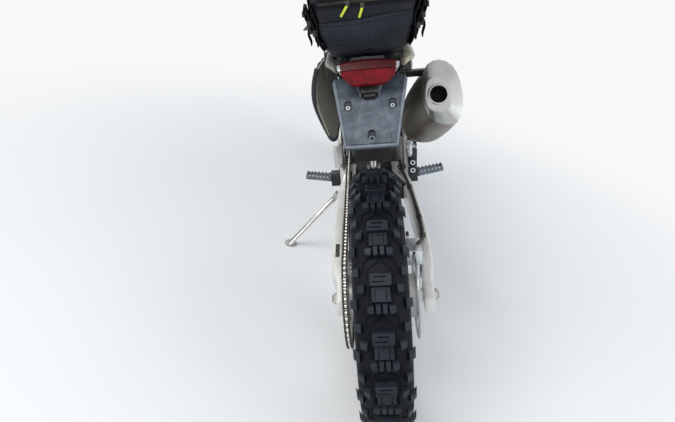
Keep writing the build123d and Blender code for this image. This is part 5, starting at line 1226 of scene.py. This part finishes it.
def fittings():
    arm = node_surface("swingarm")

    def on_arm(x, y, lift):
        return touched(arm, (x, y, OVER_ARM), (0, 0, -1), lift)

    # The brake hose and its clips
    bm = bmesh.new()
    line = [(88, 552, 474), (92, 535, 462)]
    line += [on_arm(x, y, 4.6) for x, y in ((96, 505), (104, 450), (110, 400), (117, 330), (122, 265), (125, 210),
                                            (125, 165))]
    line += [(120, 128, 421), (110, 92, 440), (101, 66, 448), (99, 58, 444)]
    swept(bm, line, 5.2, 14, rounding=3)
    turns = [2 * math.pi * i / 24 for i in range(25)]
    swept(bm, [Vector((94 + 11 * math.sin(a), 522, 463 + 11 * math.cos(a))) for a in turns], 3.2, 10, material=1)
    ahead = Vector((0, 1, 0.08)).normalized()
    for x, y in ((110, 400), (123, 240), (125, 160)):
        spot = on_arm(x, y, 5.4)
        cylinder(bm, spot - ahead * 5, spot + ahead * 5, 7.4, 20, 1)
        bits(bm, spot, ((-7.5, -5, -7), (7.5, 5, -1)))
    add_piece("rear_brake_hose", bm, ["rubber", "black_plastic"])

    # The caliper's bolts, piston cap, union, hose and bracket
    bm = bmesh.new()
    for y in (58, 106):
        cylinders(bm, (((106, y, 425), (110.5, y, 425), 9, 24), ((110, y, 425), (115, y, 425), 6.2, 6, 1)))
    cylinders(bm, (
        ((105, 82, 413), (111, 82, 413), 19, 36, 0, 17), ((111, 82, 413), (112.4, 82, 413), 11, 6, 1),
        ((99, 58, 436), (99, 58, 446), 6.5, 20, 1), ((99, 58, 446), (99, 58, 451), 5.2, 6, 1),
        ((80, 118, 430), (80, 133, 441), 3.0, 12, 1), ((80, 126, 436), (80, 136, 443.3), 4.4, 12, 2)))
    bracket = [(112, 398), (118, 370), (60, 330), (16, 316), (-16, 318), (-20, 350), (4, 358), (36, 372), (52, 398)]
    plate_across(bm, bracket, 95.2, 103)
    cylinder(bm, (94.5, 0, 335), (106, 0, 335), 17.5, 28)
    rounded_edges(bm, 0.9, 50)
    add_piece("rear_caliper_fittings", bm, ["bright_cast", "steel", "rubber"])

    # The master cylinder and the two bolts beside it
    bm = bmesh.new()
    for z in (449, 477):
        cylinder(bm, (131, 517.5, z), (131, 523.6, z), 8.4, 28, 0, 9.6)
        # A near-black disc on each bolt: painted shade for its socket
        cylinder(bm, (131, 516.9, z), (131, 517.7, z), 4.6, 20, 1)
    cylinders(bm, (
        ((122, 528, 505), (122, 528, 545), 9.5, 24), ((122, 528, 542), (122, 528, 550), 11, 6),
        ((122, 528, 498), (122, 528, 507), 7.5, 6), ((122, 519, 520), (122, 528, 520), 6, 20),
        ((112, 526, 534), (136, 526, 534), 5.5, 20), ((135, 526, 534), (140, 526, 534), 7.5, 6),
        ((122, 517, 520), (122, 519.5, 520), 4, 6)))
    add_piece("rear_master_cylinder", bm, ["bright_cast", "hole"])

    # The pad on the left arm, and a black tube along the left side cover's outer edge: painted shade on that edge
    bm = bmesh.new()
    ribbon(bm, [on_arm(-112, y, 0.7) for y in range(96, 145, 4)], (1, 0, 0), (0, 0, 1), 11, 1.6)
    add_piece("left_arm_pad", bm, ["rubber"])

    bm = bmesh.new()
    swept(bm, [(x, *from_pivot(y, z)) for x, y, z in COVER_EDGE], 5.4, 12, rounding=3)
    add_piece("side_cover_left_edge", bm, ["black_plastic"])


fittings()


# Cream strips on the rear fender's raised wings, beside the lamp: painted highlight, dimmer on the left side
def wing_highlights():
    for side, name, finish in ((1, "wing_highlight_right", "cream_plastic"), (-1, "wing_highlight_left", "wing_highlight_dim")):
        bm = bmesh.new()
        section = [(66, 917.5), (85.5, 934.3), (92, 934.5), (96, 942), (86, 948.5), (68, 945)]
        if side < 0:
            section = [(58, 911), (78, 928.5), (87, 934), (85, 940), (76, 941), (62, 934)]
        outline = chaikin([Vector(p) for p in section], 1)
        centre = sum(outline, Vector((0, 0))) / len(outline)
        rows = []
        for y, size, rise in ((-12, 0.5, -1), (-7, 0.85, -0.5), (2, 1.0, 0), (40, 1.0, 3), (84, 0.9, 5), (92, 0.5, 4)):
            sized = [centre + (p - centre) * size for p in outline]
            rows.append([list(Vector((side * p.x, y, p.y + rise))) for p in sized])
        ring_faces(bm, softened(rows, 1), True)
        add_piece(name, bm, [finish], smooth=40)


wing_highlights()


# Fasteners on the engine and fins on the radiators, set where a straight look meets the CAD's surface
BOLT_R = 4.6


def bolt_heads(bm, surface, side, centre, radius, count):
    """A ring of bolt heads on a flat cover seen from one side of the machine."""
    for i in range(count):
        a = 2 * math.pi * (i + 0.5) / count
        y, z = centre[0] + radius * math.cos(a), centre[1] + radius * math.sin(a)
        place = surface.ray_cast(Vector((side * BESIDE, y, z)), Vector((-side, 0, 0)))[0]
        if place is None or abs(place.x) < 40:
            continue
        out = Vector((side, 0, 0))
        cylinder(bm, place - out, place + out * 1.2, BOLT_R * 1.25, 20)
        cylinder(bm, place, place + out * 4.4, BOLT_R, 6, 0, BOLT_R * 0.94)
        # A thin near-black hexagon on top: painted shade for the head's socket
        cylinder(bm, place + out * 4.3, place + out * 4.6, BOLT_R * 0.5, 6, 1)


FIN_FOOT, FIN_PITCH, FIN_COUNT = 632, 6, 30


def engine_details():
    surface = node_surface("engine_covers", "engine_case")
    bm = bmesh.new()
    for side, centre, radius, count in ((1, from_pivot(150, -20), 66, 8), (1, from_pivot(235, -10), 52, 6),
                                        (-1, from_pivot(170, -10), 60, 8), (-1, from_pivot(60, 60), 20, 3)):
        bolt_heads(bm, surface, side, centre, radius, count)
    add_piece("engine_bolt_heads", bm, ["steel", "hole"])
    surface = node_surface("radiators")
    bm = bmesh.new()
    for side in (-1, 1):
        for k in range(FIN_COUNT):
            z = FIN_FOOT + FIN_PITCH * k
            ends = [surface.ray_cast(Vector((side * x, 1400, z)), Vector((0, -1, 0)))[0] for x in (70, 132)]
            if all(ends):
                cylinder(bm, *ends, 1.3, 6)
    add_piece("radiator_fins", bm, ["cast_aluminium"])


engine_details()


# The rest of the CAD nodes, with their edges rounded
ROUNDING = {
    "swingarm": 3.0, "main_frame": 0.0, "subframe": 0.0, "rear_axle": 0.0, "pivot_bolt": 0.0,
    "chain_guides": 1.2, "front_sprocket": 0.0, "rear_sprocket": 0.0, "engine_case": 3.0, "engine_covers": 1.6,
    "cylinder": 2.5, "cylinder_head": 2.5, "header_pipe": 0.0, "radiators": 1.2, "fuel_tank": 5.0, "fuel_cap": 1.5,
    "rear_fender": 1.4, "tail_lamp_body": 1.5, "rack": 1.5,
    "airbox": 3.0, "inner_mudflap": 1.5, "foot_pegs": 0.9, "brake_pedal": 0.8, "gear_lever": 0.0,
    "rear_caliper": 1.6, "skid_plate": 1.4, "triple_clamps": 1.6, "fork_tubes": 0.0, "fork_sliders": 1.2,
    "front_axle": 0.0, "bar_clamps": 1.4, "handlebar": 0.0, "grips": 0.0, "levers": 0.0, "front_fender": 1.4,
    "fork_guards": 1.4, "front_caliper": 1.6, "headlamp_mask": 4.0, "headlamp_lens": 3.0, "rear_disc": 0.0,
    "front_disc": 0.0, "side_stand": 0.0,
}
for node_name, width in ROUNDING.items():
    rounded_node(node_name, width)


def darken(name, finish, inside):
    """Gives a second finish to the faces of a finished node that lie within a distance of the middle."""
    mesh = bpy.data.objects[name + "_finished"].data
    mesh.materials.append(MATERIALS[finish])
    for face in mesh.polygons:
        if abs((BIKE_INVERSE @ face.center).x) < inside:
            face.material_index = 1


darken("foot_pegs", "frame_paint", 152)
darken("swingarm", "rubber", 66)


# Floor and light: what lies behind the machine is white where the camera or a mirror sees it
WHITE = (0.93, 0.94, 0.95, 1)
FLOOR_COLOUR, FLOOR_SIZE = (0.88, 0.885, 0.89, 1), 400
FADE_START, FADE_END = 0.7, 2.6
SKY_COLOUR, SKY_STRENGTH = (0.88, 0.94, 1.0, 1), 0.62
AIM = Vector((0, 0, 0.5))

# Each lamp: its name, place, size, power and colour
LAMPS = (("key", (-2.6, -2.4, 4.4), 2.6, 150, (1, 0.98, 0.95)), ("fill", (3.6, -2.4, 3.0), 3.0, 60, (0.92, 0.96, 1)))


def plain_white(tree, lit, kind, share=1.0):
    """A white light for camera, glossy and transmitted rays, and the given shader for the rest."""
    path = node(tree, "ShaderNodeLightPath")
    seen = math_of(tree, "MAXIMUM", path.outputs["Is Glossy Ray"], path.outputs["Is Transmission Ray"])
    seen = math_of(tree, "MAXIMUM", seen, path.outputs["Is Camera Ray"])
    mix = node(tree, "ShaderNodeMixShader")
    for socket, source in zip(mix.inputs, (product(tree, seen, share), lit, node(tree, kind, Color=WHITE).outputs[0])):
        feed(tree, socket, source)
    return mix.outputs[0]


def floor_paint():
    """Pale paint that fades to plain white away from the machine and its shadow."""
    paint = bpy.data.materials.new("floor")
    paint.use_nodes = True
    tree = paint.node_tree
    shader = tree.nodes["Principled BSDF"]
    shader.inputs["Base Color"].default_value = FLOOR_COLOUR
    shader.inputs["Roughness"].default_value = 0.9
    shader.inputs["Specular IOR Level"].default_value = 0.1
    away = node(tree, "ShaderNodeVectorMath", operation="LENGTH")
    feed(tree, away.inputs[0], node(tree, "ShaderNodeNewGeometry").outputs["Position"])
    fade = ramp_of(tree, away.outputs["Value"], FADE_START, FADE_END)
    tree.links.new(plain_white(tree, shader.outputs[0], "ShaderNodeEmission", fade),
                   tree.nodes["Material Output"].inputs[0])
    return paint


def stage_and_light():
    bm = bmesh.new()
    bmesh.ops.create_grid(bm, x_segments=1, y_segments=1, size=FLOOR_SIZE)
    mesh = bpy.data.meshes.new("floor")
    bm.to_mesh(mesh)
    bm.free()
    floor = placed("floor", mesh)
    mesh.materials.append(floor_paint())
    world = bpy.data.worlds.new("studio")
    bpy.context.scene.world = world
    world.use_nodes = True
    tree = world.node_tree
    tree.nodes.clear()
    sky = node(tree, "ShaderNodeBackground", Color=SKY_COLOUR, Strength=SKY_STRENGTH).outputs[0]
    node(tree, "ShaderNodeOutputWorld", Surface=plain_white(tree, sky, "ShaderNodeBackground"))
    for name, where, size, power, colour in LAMPS:
        lamp = bpy.data.lights.new(name, "AREA")
        lamp.energy = power
        lamp.size = size
        lamp.color = colour
        holder = placed(name, lamp)
        holder.location = where
        holder.rotation_euler = (AIM - Vector(where)).to_track_quat("-Z", "Y").to_euler()
    bpy.context.scene.view_settings.view_transform = "Standard"


stage_and_light()
